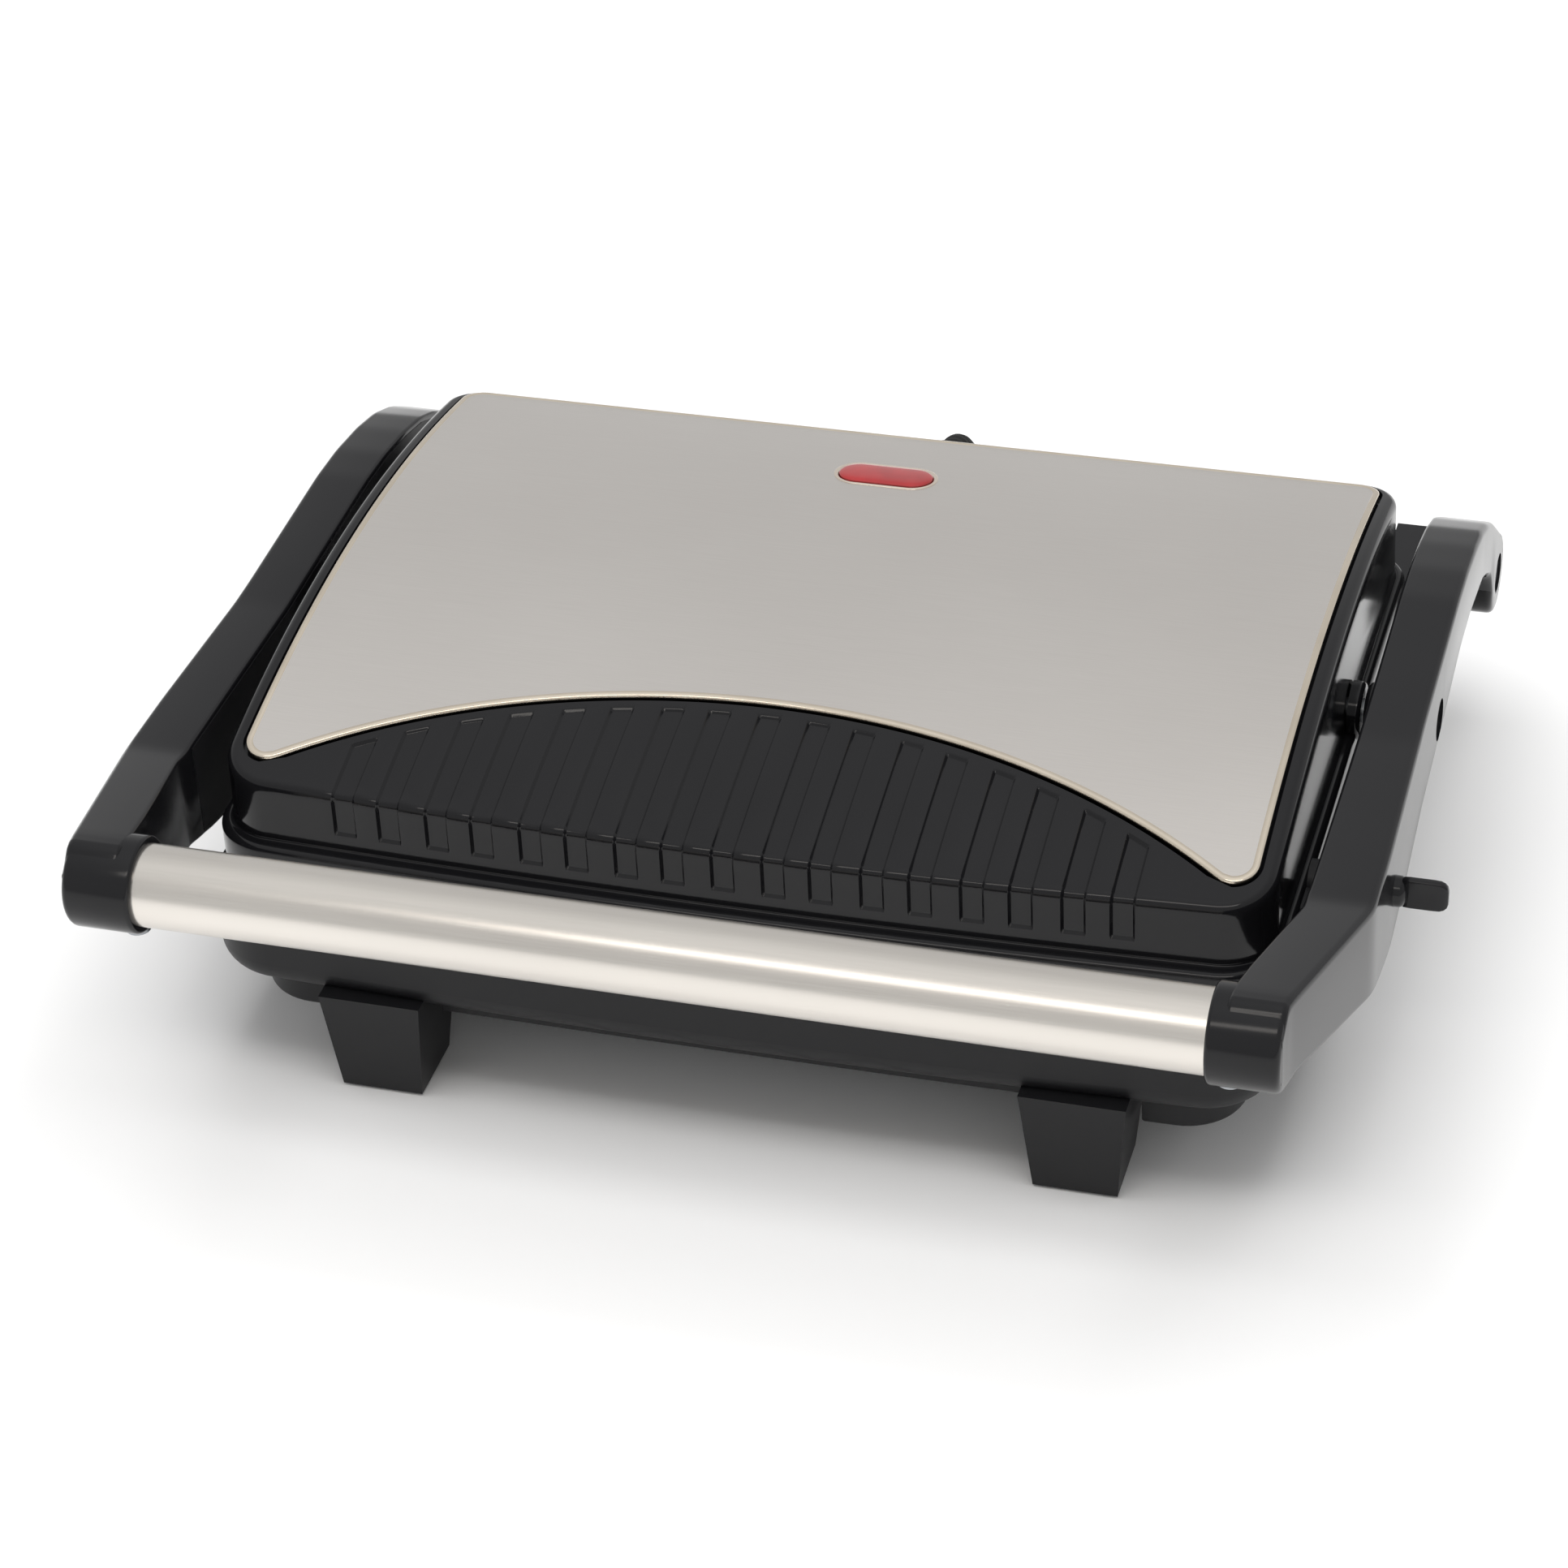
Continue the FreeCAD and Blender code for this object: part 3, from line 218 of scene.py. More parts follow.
def brushed(name, dark, light, grain_mm, rough_low, rough_high, stretch):
    """Stainless sheet or tube brushed along X: long fine scratches, hazy streaked reflection."""
    material = new_material(name)
    place = add_node(material, "ShaderNodeTexCoord").outputs["Object"]
    along = add_node(material, "ShaderNodeMapping", {"Vector": place})
    along.inputs["Scale"].default_value = stretch
    scratches = add_node(material, "ShaderNodeTexNoise", {"Vector": along.outputs["Vector"]},
                         in_Scale=1000.0 / grain_mm, in_Detail=4.0, in_Roughness=0.6)
    cloud = add_node(material, "ShaderNodeTexNoise", {"Vector": place}, in_Scale=14.0, in_Detail=2.0)
    tangent = add_node(material, "ShaderNodeTangent", direction_type="RADIAL", axis="X")
    bump = add_node(material, "ShaderNodeBump", {"Height": scratches.outputs["Fac"]}, in_Strength=0.10,
                    in_Distance=0.00005)
    blend = add_node(material, "ShaderNodeMath", {0: scratches.outputs["Fac"], 1: cloud.outputs["Fac"]},
                     operation="ADD")
    half = add_node(material, "ShaderNodeMath", {0: blend.outputs[0]}, operation="MULTIPLY")
    half.inputs[1].default_value = 0.5
    shader = add_node(material, "ShaderNodeBsdfPrincipled", {
        "Base Color": two_tone(material, half.outputs[0], dark, light),
        "Roughness": spread(material, scratches.outputs["Fac"], rough_low, rough_high),
        "Tangent": tangent.outputs["Tangent"], "Normal": bump.outputs["Normal"]})
    shader.inputs["Metallic"].default_value = 1.0
    shader.inputs["Anisotropic"].default_value = 0.55
    return finish_material(material, shader)


def plain_metal(name, dark, light, rough_low, rough_high, scale):
    """Plated or mill-finish metal: slight cloudiness in tone and gloss."""
    material = new_material(name)
    place = add_node(material, "ShaderNodeTexCoord").outputs["Object"]
    cloud = add_node(material, "ShaderNodeTexNoise", {"Vector": place}, in_Scale=scale, in_Detail=4.0)
    shader = add_node(material, "ShaderNodeBsdfPrincipled", {
        "Base Color": two_tone(material, cloud.outputs["Fac"], dark, light),
        "Roughness": spread(material, cloud.outputs["Fac"], rough_low, rough_high)})
    shader.inputs["Metallic"].default_value = 1.0
    return finish_material(material, shader)


def matt(name, dark, light, rough_low, rough_high, grain_mm, dent):
    """Unglossed insulators, rubber and coatings: a dull grain that breaks the highlight."""
    material = new_material(name)
    place = add_node(material, "ShaderNodeTexCoord").outputs["Object"]
    grain = add_node(material, "ShaderNodeTexNoise", {"Vector": place},
                     in_Scale=1000.0 / grain_mm, in_Detail=3.0)
    bump = add_node(material, "ShaderNodeBump", {"Height": grain.outputs["Fac"]}, in_Strength=dent,
                    in_Distance=0.0002)
    shader = add_node(material, "ShaderNodeBsdfPrincipled", {
        "Base Color": two_tone(material, grain.outputs["Fac"], dark, light),
        "Roughness": spread(material, grain.outputs["Fac"], rough_low, rough_high),
        "Normal": bump.outputs["Normal"]})
    return finish_material(material, shader)


def clear_tinted(name, dark, light, ior, rough):
    """Tinted clear moulding or glass with faint waviness."""
    material = new_material(name)
    place = add_node(material, "ShaderNodeTexCoord").outputs["Object"]
    waves = add_node(material, "ShaderNodeTexNoise", {"Vector": place}, in_Scale=120.0, in_Detail=2.0)
    shader = add_node(material, "ShaderNodeBsdfPrincipled", {
        "Base Color": two_tone(material, waves.outputs["Fac"], dark, light),
        "Roughness": spread(material, waves.outputs["Fac"], rough, rough + 0.05)}, in_IOR=ior)
    shader.inputs["Coat Weight"].default_value = 0.6
    return finish_material(material, shader)


# High-gloss polycarbonate shell: nearly black, clean bright reflections along its rounded edges.
GLOSS_SHELL = moulded_black("high_gloss_polycarbonate_shell", "#111113", "#161618", 0.08, 0.14, 0.9, 0.03)
# Polished ABS arms: the same black, their flat sides mirror the pale floor at a glance.
SATIN_ARM = moulded_black("polished_moulded_abs_arm", "#121214", "#171719", 0.12, 0.19, 0.6, 0.04)
# Textured phenolic base: dull black moulding that shows only broad soft light.
DULL_BASE = moulded_black("textured_phenolic_base", "#131315", "#19191B", 0.38, 0.5, 0.25, 0.22)
# Brushed stainless panel: warm grey, scratches run from side to side and smear reflections front to back.
PANEL_STEEL = brushed("brushed_stainless_panel", "#D9D4CF", "#EBE7E2", 0.3, 0.26, 0.34, (0.02, 1.0, 1.0))
# Polished hem: the sheet's turned edge, brighter than the field, catches a thin warm line.
HEM_STEEL = plain_metal("polished_stainless_hem", "#D9CDBB", "#F2E7D6", 0.12, 0.2, 60.0)
# Turned bezel: polished rim pressed round the window, warm and nearly white.
BEZEL_STEEL = plain_metal("polished_bezel", "#EADCCB", "#F8EDE0", 0.12, 0.2, 60.0)
# Brushed tube: drawn stainless tube brushed along its length, streaks run with the bar.
TUBE_STEEL = brushed("brushed_stainless_tube", "#D6D1CA", "#ECE7E0", 0.3, 0.2, 0.3, (0.015, 1.0, 1.0))
# Signal-red acrylic: deep clear red with a wet surface.
RED_LENS = clear_tinted("signal_red_acrylic_window", "#7E0E12", "#B01C20", 1.49, 0.05)
# Cast aluminium with non-stick coating: dark, fine orange-peel grain.
COATED_PLATE = matt("non_stick_coated_cast_aluminium", "#1B1B1C", "#262627", 0.32, 0.45, 0.6, 0.25)
# Aluminised sheet: pale, soft mirror with a rolled grain.
BRIGHT_SHEET = plain_metal("aluminised_steel_sheet", "#B9B9B8", "#D4D4D2", 0.25, 0.4, 90.0)
# Matt rubber: charcoal with a dusty grain.
RUBBER = matt("matt_moulded_rubber", "#141414", "#1D1D1D", 0.7, 0.85, 0.4, 0.3)
# Lamp glass: thin warm clear glass.
LAMP_GLASS = clear_tinted("soda_glass_neon_lamp", "#C98A62", "#E0A983", 1.52, 0.04)
# Steatite and glass-filled nylon: chalky off-white.
INSULATOR = matt("steatite_insulator", "#CFCBC0", "#DEDBD2", 0.5, 0.65, 0.8, 0.1)
# Zinc-plated steel: bluish grey, slightly cloudy.
ZINC = plain_metal("zinc_plated_steel", "#8F9296", "#B2B5B8", 0.28, 0.42, 150.0)

FINISHES = {
    "shell_black": GLOSS_SHELL, "arm_black": SATIN_ARM, "base_black": DULL_BASE, "brushed_steel": TUBE_STEEL,
    "red_lens": RED_LENS, "coated_aluminium": COATED_PLATE, "bright_sheet": BRIGHT_SHEET,
    "black_rubber": RUBBER, "lamp_glass": LAMP_GLASS, "white_insulator": INSULATOR, "plain_steel": ZINC,
}
for part in frame["record"]["subparts"]:
    node = frame["nodes"][part["node"]]
    node.data.materials.clear()
    node.data.materials.append(FINISHES[part["material_slot"]])
    node.data.shade_smooth()
    node.data.set_sharp_from_angle(angle=math.radians(30))

# ---------------------------------------------------------------- sizes, millimetres

LID_HALF, LID_FRONT, LID_BACK, LID_BOW = 131.2, 90.0, 94.0, 2.6
FRONT_CORNER, BACK_CORNER = 14.0, 11.0
ARCH_TOP, ARCH_MIDDLE, ARCH_RADIUS = 93.2, 13.0, 363.5
LIP_SIDE, LIP_FRONT, LIP_BOTTOM, LIP_TOP = 2.4, 4.0, 51.4, 61.7
PANEL_HALF, PANEL_BACK, PANEL_CORNER = 126.0, 90.5, 6.0
PANEL_ARC_FRONT, PANEL_ARC_RADIUS = 44.7, 206.5
PANEL_PROUD, PANEL_SHEET, PANEL_GAP, HEM = 0.8, 1.2, 0.8, 1.7
CHANNEL_HALF, CHANNEL_DEPTH, CHANNEL_FOOT, CHANNEL_MARGIN = 2.7, 0.9, 66.3, 3.4
CHANNEL_PITCH, CHANNEL_STAGGER, LAST_CHANNEL_X = 12.06, 0.44, 103
LIP_INSIDE, LIP_ROUND, STEP_OUT, TOP_ROUND = 3.0, 1.9, 0.35, 3.2
CHANNELS = [0.0]
for step in range(8):
    stagger = CHANNEL_STAGGER if step % 2 == 0 else -CHANNEL_STAGGER
    CHANNELS.append(CHANNELS[-1] + CHANNEL_PITCH + stagger)
CHANNELS = sorted({side * x for x in CHANNELS for side in (1, -1)})


def arch(y):
    """Height of the arched top at y."""
    return ARCH_TOP - ARCH_RADIUS + np.sqrt(ARCH_RADIUS ** 2 - (np.asarray(y) - ARCH_MIDDLE) ** 2)


# ---------------------------------------------------------------- lid shell


def front_stations():
    """X of every column across the lid's front, close together at the groove edges."""
    reach = LID_HALF - FRONT_CORNER
    steps = (3.3, 3.0, 2.8, 2.6, 2.35, 2.0, 1.0)
    stations = {round(c + s * d, 3) for c in CHANNELS for d in steps for s in (1, -1)}
    stations |= {round(c, 3) for c in CHANNELS}
    half = CHANNEL_PITCH / 2
    stations |= {round(c + half, 3) for c in CHANNELS} | {round(c - half, 3) for c in CHANNELS}
    beyond = np.round(np.linspace(LAST_CHANNEL_X, reach, 6), 3)
    stations |= set(beyond) | set(np.round(np.linspace(-reach, -LAST_CHANNEL_X, 6), 3))
    return np.array(sorted(x for x in stations if abs(x) <= reach))


ARC_CENTRE = -PANEL_ARC_FRONT - PANEL_ARC_RADIUS
TIP_X = PANEL_HALF - PANEL_CORNER
TIP_Y = ARC_CENTRE + math.sqrt((PANEL_ARC_RADIUS + PANEL_CORNER) ** 2 - TIP_X ** 2)


def panel_front(x, grow=0.0):
    """Y of the steel panel's front edge at x: the arc, running tangent into its rounded tips."""
    x = np.abs(np.asarray(x, float))
    radius = PANEL_ARC_RADIUS - grow
    corner = PANEL_CORNER + grow
    arc = ARC_CENTRE + np.sqrt(np.maximum(radius ** 2 - x ** 2, 1.0))
    tip = TIP_Y - np.sqrt(np.maximum(corner ** 2 - (x - TIP_X) ** 2, 0.0))
    joint = radius * TIP_X / (PANEL_ARC_RADIUS + PANEL_CORNER)
    return np.where(x <= joint, arc, tip)


def channel_mask(x, reach_in):
    """0 outside the grooves, 1 on their floor; reach_in is the distance inside the groove's end."""
    nearest = np.min(np.abs(np.subtract.outer(x, np.array(CHANNELS))), axis=-1)
    inside = np.minimum(CHANNEL_HALF - nearest, reach_in)
    return smooth_step((inside + 0.42) / 0.84)


def lid_columns():
    """Columns round the lid: anchor, inward direction, weight of the front's extra lip, panel-side point."""
    xs = front_stations()
    reach = LID_HALF - FRONT_CORNER
    columns = []
    for x in xs:
        columns.append(((x, -LID_FRONT - LID_BOW * (1 - (x / reach) ** 2)), (0.0, 1.0), 1.0,
                        (x, float(panel_front(x, PANEL_GAP)))))
    corner_count = 16
    for k in range(1, corner_count):
        angle = math.radians(-90 + 90 * k / corner_count)
        c, s = math.cos(angle), math.sin(angle)
        grow = PANEL_CORNER + PANEL_GAP
        inner = (TIP_X + grow * c, TIP_Y + grow * s)
        columns.append(((reach + FRONT_CORNER * c, -LID_FRONT + FRONT_CORNER + FRONT_CORNER * s), (-c, -s),
                        -s, inner))
    for y in np.linspace(-LID_FRONT + FRONT_CORNER, LID_BACK - BACK_CORNER, 40):
        columns.append(((LID_HALF, y), (-1.0, 0.0), 0.0, (PANEL_HALF + PANEL_GAP, y)))
    back_reach = LID_HALF - BACK_CORNER
    for k in range(1, corner_count):
        angle = math.radians(90 * k / corner_count)
        c, s = math.cos(angle), math.sin(angle)
        grow = PANEL_CORNER + PANEL_GAP
        inner = (TIP_X + grow * c, PANEL_BACK - PANEL_CORNER + grow * s)
        columns.append(((back_reach + BACK_CORNER * c, LID_BACK - BACK_CORNER + BACK_CORNER * s), (-c, -s),
                        0.0, inner))
    for x in np.linspace(back_reach, 0, 30):
        columns.append(((x, LID_BACK), (0.0, -1.0), 0.0, (x, PANEL_BACK + PANEL_GAP)))
    left = [((-a[0], a[1]), (-d[0], d[1]), w, (-q[0], q[1])) for a, d, w, q in columns[len(xs):-1]]
    return columns + left[::-1], len(xs)


def lip_rows(ring, lip):
    """The lip round the lid's foot, its rounded top and the fine step up to the wall."""
    rows = [ring(LIP_INSIDE, LIP_BOTTOM + 6), ring(LIP_INSIDE, LIP_BOTTOM), ring(lip + 0.5, LIP_BOTTOM),
            ring(lip, LIP_BOTTOM + 0.5), ring(lip, LIP_TOP - 4.5)]
    for angle in range(0, 91, 15):
        a = math.radians(angle)
        rows.append(ring(lip + LIP_ROUND * (1 - math.cos(a)), LIP_TOP - LIP_ROUND + LIP_ROUND * math.sin(a)))
    rows.append(ring(np.minimum(lip + 2.2, -0.4), LIP_TOP - 0.08))
    rows.append(ring(-STEP_OUT, LIP_TOP - 0.1))
    for angle in range(0, 91, 18):
        a = math.radians(angle)
        rows.append(ring(-STEP_OUT + 0.5 * math.sin(a), LIP_TOP - 0.1 + 0.8 * (1 - math.cos(a))))
    return rows


def wall_rows(ring, inward, is_front, wall_top):
    """The wall with its grooves, close-set where they begin, then the rounded edge into the top."""
    wall_foot = LIP_TOP + 0.7
    rows = []
    for height in (0.6, 1.4, 2.6, 3.2, 3.6, 3.9, 4.2, 4.55, 4.9, 5.3, 5.8):
        z = wall_foot + height
        rows.append(dent(ring(0.15 + 0.04 * height, z), inward, is_front, z - CHANNEL_FOOT))
    for share in (0.3, 0.6, 0.85, 1.0):
        z = wall_foot + 5.8 + (wall_top - wall_foot - 5.8) * share
        rows.append(dent(ring(0.4 + 0.1 * share, z), inward, is_front, z - CHANNEL_FOOT))
    for angle in range(10, 91, 10):
        a = math.radians(angle)
        fillet = TOP_ROUND - 0.5
        z = wall_top + TOP_ROUND * math.sin(a)
        row = ring(0.5 + fillet * (1 - math.cos(a)), z)
        rows.append(dent(row, inward, is_front, z - CHANNEL_FOOT, tilt=a))
    return rows


def deck_rows(start, inner, inward, is_front):
    """The top from its rounded edge to the panel's opening, close-set at the grooves' ends."""
    span = np.linalg.norm(inner - start, axis=1)
    marks = np.array([5.2, 4.6, 4.15, 3.85, 3.6, 3.4, 3.2, 2.95, 2.6, 2.0, 1.0, 0.25, 0.0])
    marks_here = marks[None, :] * np.minimum(1.0, span / 6.5)[:, None]
    rows = []
    for share in (0.15, 0.3, 0.45, 0.6, 0.75, 0.88):
        along = (span - marks_here[:, 0]) * share
        rows.append(top_row(start, inner, along, span, inward, is_front))
    for k in range(len(marks)):
        rows.append(top_row(start, inner, span - marks_here[:, k], span, inward, is_front))
    return rows


def seat_rows(edge):
    """The broken edge of the panel's opening, the wall of its seat and the ledge below."""
    lowered = edge.copy()
    lowered[:, 2] -= 0.25
    wall = lowered.copy()
    wall[:, 2] -= 1.6
    ledge = wall.copy()
    ledge[:, :2] *= 0.97
    return [lowered, wall, ledge]


def lid_skin():
    """The lid's moulded skin from its lip, up the grooved wall and over to the panel's seat."""
    columns, front_count = lid_columns()
    anchor, inward, weight, inner = (np.array(values) for values in zip(*columns))
    lip = -(LIP_SIDE + (LIP_FRONT - LIP_SIDE) * weight)
    is_front = np.arange(len(columns)) < front_count

    def ring(inset, height):
        xy = anchor + inward * np.broadcast_to(inset, weight.shape)[:, None]
        return np.column_stack([xy, np.broadcast_to(height, weight.shape)])

    start = anchor + inward * TOP_ROUND
    wall_top = arch(start[:, 1]) - PANEL_PROUD - TOP_ROUND
    deck = deck_rows(start, inner, inward, is_front)
    rows = lip_rows(ring, lip) + wall_rows(ring, inward, is_front, wall_top)
    return grid_mesh(rows + deck[:-1] + seat_rows(deck[-1]), wrap=True)


def dent(row, inward, is_front, reach_in, tilt=0.0):
    """Pushes the groove floors in, along the wall's or the top's own normal."""
    depth = channel_mask(row[:, 0], reach_in) * CHANNEL_DEPTH * is_front
    row = row.copy()
    row[:, :2] += inward * (depth * math.cos(tilt))[:, None]
    row[:, 2] -= depth * math.sin(tilt)
    return row


def top_row(start, inner, along, span, inward, is_front):
    """One row across the top, a given way from the rounded edge towards the panel."""
    xy = start + (inner - start) * (along / span)[:, None]
    height = arch(xy[:, 1]) - PANEL_PROUD
    row = np.column_stack([xy, height])
    to_end = PANEL_ARC_RADIUS - CHANNEL_MARGIN - np.hypot(xy[:, 0], xy[:, 1] - ARC_CENTRE)
    return dent(row, inward, is_front, to_end, tilt=math.pi / 2)


points, faces = lid_skin()
make_piece("lid_shell_moulding", points, faces, "lid", GLOSS_SHELL, "lid_shell")

# ---------------------------------------------------------------- indicator window

WINDOW_BACK, WINDOW_REACH, WINDOW_ROUND = 61.7, 7.0, 6.5
WINDOW_ROOM, FIELD_DROP = 0.35, 0.22
WINDOW_FIRST_ROW, WINDOW_LAST_ROW, WINDOW_BLOCK_HALF = 23, 29, 19.7


def obround(grow, count=72):
    """Closed loop round the indicator window, grown by grow: two half circles and the straights between."""
    angles = np.linspace(0, 2 * math.pi, count, endpoint=False) + math.pi / count
    side = np.where(np.cos(angles) > 0, WINDOW_REACH, -WINDOW_REACH)
    radius = WINDOW_ROUND + grow
    return np.column_stack([side + radius * np.cos(angles), WINDOW_BACK + radius * np.sin(angles)])


def window_rows(steps):
    """Rings that follow the arch: (growth, height above the steel) for each."""
    rows = []
    for grow, lift in steps:
        loop = obround(grow)
        rows.append(np.column_stack([loop, arch(loop[:, 1]) + lift]))
    return rows


def patch_round_window(field, first_row, last_row, first_column, last_column, hole):
    """Replaces a block of the steel's grid by rings that end at the window's opening."""
    block = [tuple(field[first_row, c]) for c in range(first_column, last_column)]
    block += [tuple(field[r, last_column]) for r in range(first_row, last_row)]
    block += [tuple(field[last_row, c]) for c in range(last_column, first_column, -1)]
    block += [tuple(field[r, first_column]) for r in range(last_row, first_row, -1)]
    outer = np.array(block)
    middle = np.column_stack([np.clip(outer[:, 0], -WINDOW_REACH, WINDOW_REACH),
                              np.full(len(outer), WINDOW_BACK)])
    away = outer[:, :2] - middle
    away /= np.linalg.norm(away, axis=1)[:, None]
    edge = middle + away * (WINDOW_ROUND + hole)
    rows = []
    for share in (0.0, 0.35, 0.65, 0.85, 1.0):
        xy = outer[:, :2] + (edge - outer[:, :2]) * share
        rows.append(np.column_stack([xy, arch(xy[:, 1]) - FIELD_DROP]))
    rows[0] = outer
    sunk = rows[-1].copy()
    sunk[:, 2] -= 1.0
    rows.append(sunk)
    return grid_mesh(rows, wrap=True)


LENS_STEPS = [(-1.0, -3.0), (-1.0, 0.10), (-1.25, 0.32), (-1.7, 0.48), (-2.6, 0.62), (-4.2, 0.72),
              (-6.0, 0.76), (-6.45, 0.76)]
BEZEL_STEPS = [(WINDOW_ROOM, -0.8), (WINDOW_ROOM, -0.1), (0.2, 0.02), (-0.1, 0.08), (-0.5, 0.0),
               (-0.85, -0.35), (-0.9, -1.5)]
lens_points, lens_faces = grid_mesh(window_rows(LENS_STEPS), wrap=True, end_cap=True)
make_piece("red_window", lens_points, lens_faces, "lid", RED_LENS, "indicator_lens")
bezel_points, bezel_faces = grid_mesh(window_rows(BEZEL_STEPS), wrap=True)
make_piece("window_bezel", bezel_points, bezel_faces, "lid", BEZEL_STEEL)

# ---------------------------------------------------------------- steel panel


def panel_outline(inset):
    """Closed loop of the steel panel drawn in by inset: front left to right, then back."""
    corner = PANEL_CORNER - inset
    turn = np.radians(np.linspace(0, 90, 14))
    xs = np.concatenate([-TIP_X - corner * np.cos(turn)[:-1], np.linspace(-TIP_X, TIP_X, 121),
                         TIP_X + corner * np.sin(turn)[1:]])
    front = panel_front(xs, -inset)
    beyond = np.maximum(np.abs(xs) - TIP_X, 0.0)
    back = PANEL_BACK - PANEL_CORNER + np.sqrt(np.maximum(corner ** 2 - beyond ** 2, 0.0))
    return xs, front, back


def panel_rows(inset, drop, count=34):
    """Rows across the panel from front to back, drop below the arch."""
    xs, front, back = panel_outline(inset)
    rows = []
    for share in np.linspace(0, 1, count):
        y = front + (back - front) * share
        rows.append(np.column_stack([xs, y, arch(y) - drop]))
    return np.array(rows)


def loop_of(rows):
    """Boundary of a grid as a closed ring."""
    return np.concatenate([rows[0], rows[1:, -1], rows[-1, ::-1][1:], rows[::-1, 0][1:-1]])


def panel_parts():
    """The flat sheet with its window hole, and the turned hem round it."""
    field = panel_rows(HEM, FIELD_DROP)
    rings = [(HEM, FIELD_DROP), (HEM - 0.25, 0.10), (HEM - 0.55, 0.0), (0.75, 0.0), (0.4, 0.06), (0.15, 0.2),
             (0.0, 0.45), (0.0, PANEL_SHEET)]
    hem = [loop_of(panel_rows(inset, drop)) for inset, drop in rings]
    first_row, last_row = WINDOW_FIRST_ROW, WINDOW_LAST_ROW
    inside = np.flatnonzero(np.abs(field[0, :, 0]) < WINDOW_BLOCK_HALF)
    first_column, last_column = inside[0], inside[-1]
    window = patch_round_window(field, first_row, last_row, first_column, last_column, WINDOW_ROOM)
    sheet_points, sheet_faces = grid_mesh(field)
    columns = field.shape[1]
    kept = [face for face in sheet_faces
            if not (first_row <= face[0] // columns < last_row and
                    first_column <= face[0] % columns < last_column)]
    return merge([(sheet_points, kept), window]), grid_mesh(hem, wrap=True)


field, hem = panel_parts()
make_piece("top_panel_field", field[0], field[1], "lid", PANEL_STEEL, "top_panel")
make_piece("top_panel_hem", hem[0], hem[1], "lid", HEM_STEEL)

# ---------------------------------------------------------------- handle arms

ARM_INNER, ARM_OUTER, LUG_INNER, LUG_OUTER = 138.4, 153.4, 127.3, 144.4
HINGE_Y, HINGE_Z, HINGE_ROUND, HINGE_HOLE = 119.7, 43.4, 11.0, 3.6
PIVOT_Y, PIVOT_Z, HEAD_ROUND, HEAD_DEPTH = 16.7, 64.5, 5.4, 3.4
LUG_Y, LUG_Z, LUG_ROUND = -137.2, 80.4, 11.8
LATCH_Y, LATCH_Z, LATCH_HUB = -55.8, 64.4, 3.8
# Outlines of the arm as (y, height) from above and below, and (y, x) on its inner and outer sides.
ARM_TOP = [(-146.0, 87.6), (-141.2, 92.2), (-139.6, 92.7), (-135.7, 92.2), (-86.0, 81.6), (-17.0, 80.6),
           (43.0, 83.2), (57.0, 82.8), (72.0, 81.0), (84.0, 78.4), (95.0, 74.2), (107.0, 67.2),
           (119.0, 57.8), (125.5, 51.8)]
ARM_BELLY = [(-146.0, 74.0), (-141.0, 69.6), (-133.7, 69.0), (-76.0, 52.4), (-60.0, 49.4), (-34.0, 50.4),
             (-5.0, 54.4), (26.0, 58.8), (50.0, 63.2), (66.0, 63.4), (88.0, 60.4), (97.0, 56.4),
             (105.0, 51.6), (112.0, 38.0), (125.5, 36.0)]
ARM_INSIDE = [(-149.0, 131.2), (-134.0, 131.2), (-123.6, 132.6), (-90.0, 138.4), (-82.4, 138.4),
              (-82.0, 138.55), (94.0, 138.55), (94.4, 138.4), (131.0, 138.4)]
ARM_OUTSIDE = [(-149.0, 144.3), (-140.0, 144.7), (-86.0, 154.6), (-64.0, 154.6), (-8.0, 153.4),
               (131.0, 153.4)]


def eased(stations, corners, ease):
    """Heights along a broken line whose corners are rounded over ease millimetres."""
    ys, values = zip(*corners)
    spots = np.linspace(-ease, ease, 9)
    samples = [np.interp(stations + spot, ys, values) for spot in spots]
    weights = 1.0 - np.abs(spots) / (1.1 * ease)
    return np.average(samples, axis=0, weights=weights)


def arm_stations():
    """Y of every section along the arm, closest where it bends."""
    dense = [np.linspace(-146, -130, 21), np.linspace(-130, -80, 26), np.linspace(-80, 40, 41),
             np.linspace(40, 100, 31), np.linspace(100, 125.5, 22)]
    return np.unique(np.round(np.concatenate(dense), 3))


def arm_blade():
    """The arm's long body: a rounded box section carried along its belly and top lines."""
    y = arm_stations()
    top, belly = eased(y, ARM_TOP, 3.0), eased(y, ARM_BELLY, 3.0)
    crease = (y > -143) & (y < -136)
    top[crease] = np.interp(y[crease], *zip(*ARM_TOP))
    inside, outside = eased(y, ARM_INSIDE, 1.5), eased(y, ARM_OUTSIDE, 5.0)
    rows = []
    for k in range(len(y)):
        section = rounded_box(inside[k], outside[k], belly[k], top[k], (1.0, 2.0, 2.0, 1.0))
        rows.append(np.column_stack([section[:, 0], np.full(len(section), y[k]), section[:, 1]]))
    return grid_mesh(rows, wrap=True, start_cap=True, end_cap=True)


def rounded_box(left, right, low, high, radii, steps=7):
    """Closed loop (across, up): radii at left-low, right-low, right-high, left-high."""
    corners = ((left, low, 180, 1, 1), (right, low, 270, -1, 1),
               (right, high, 0, -1, -1), (left, high, 90, 1, -1))
    loops = []
    for (x, z, start, in_x, in_z), radius in zip(corners, radii):
        radius = min(radius, 0.45 * (high - low))
        loops.append(arc_points((x + in_x * radius, z + in_z * radius), radius, start, start + 90, steps))
    return np.vstack(loops)


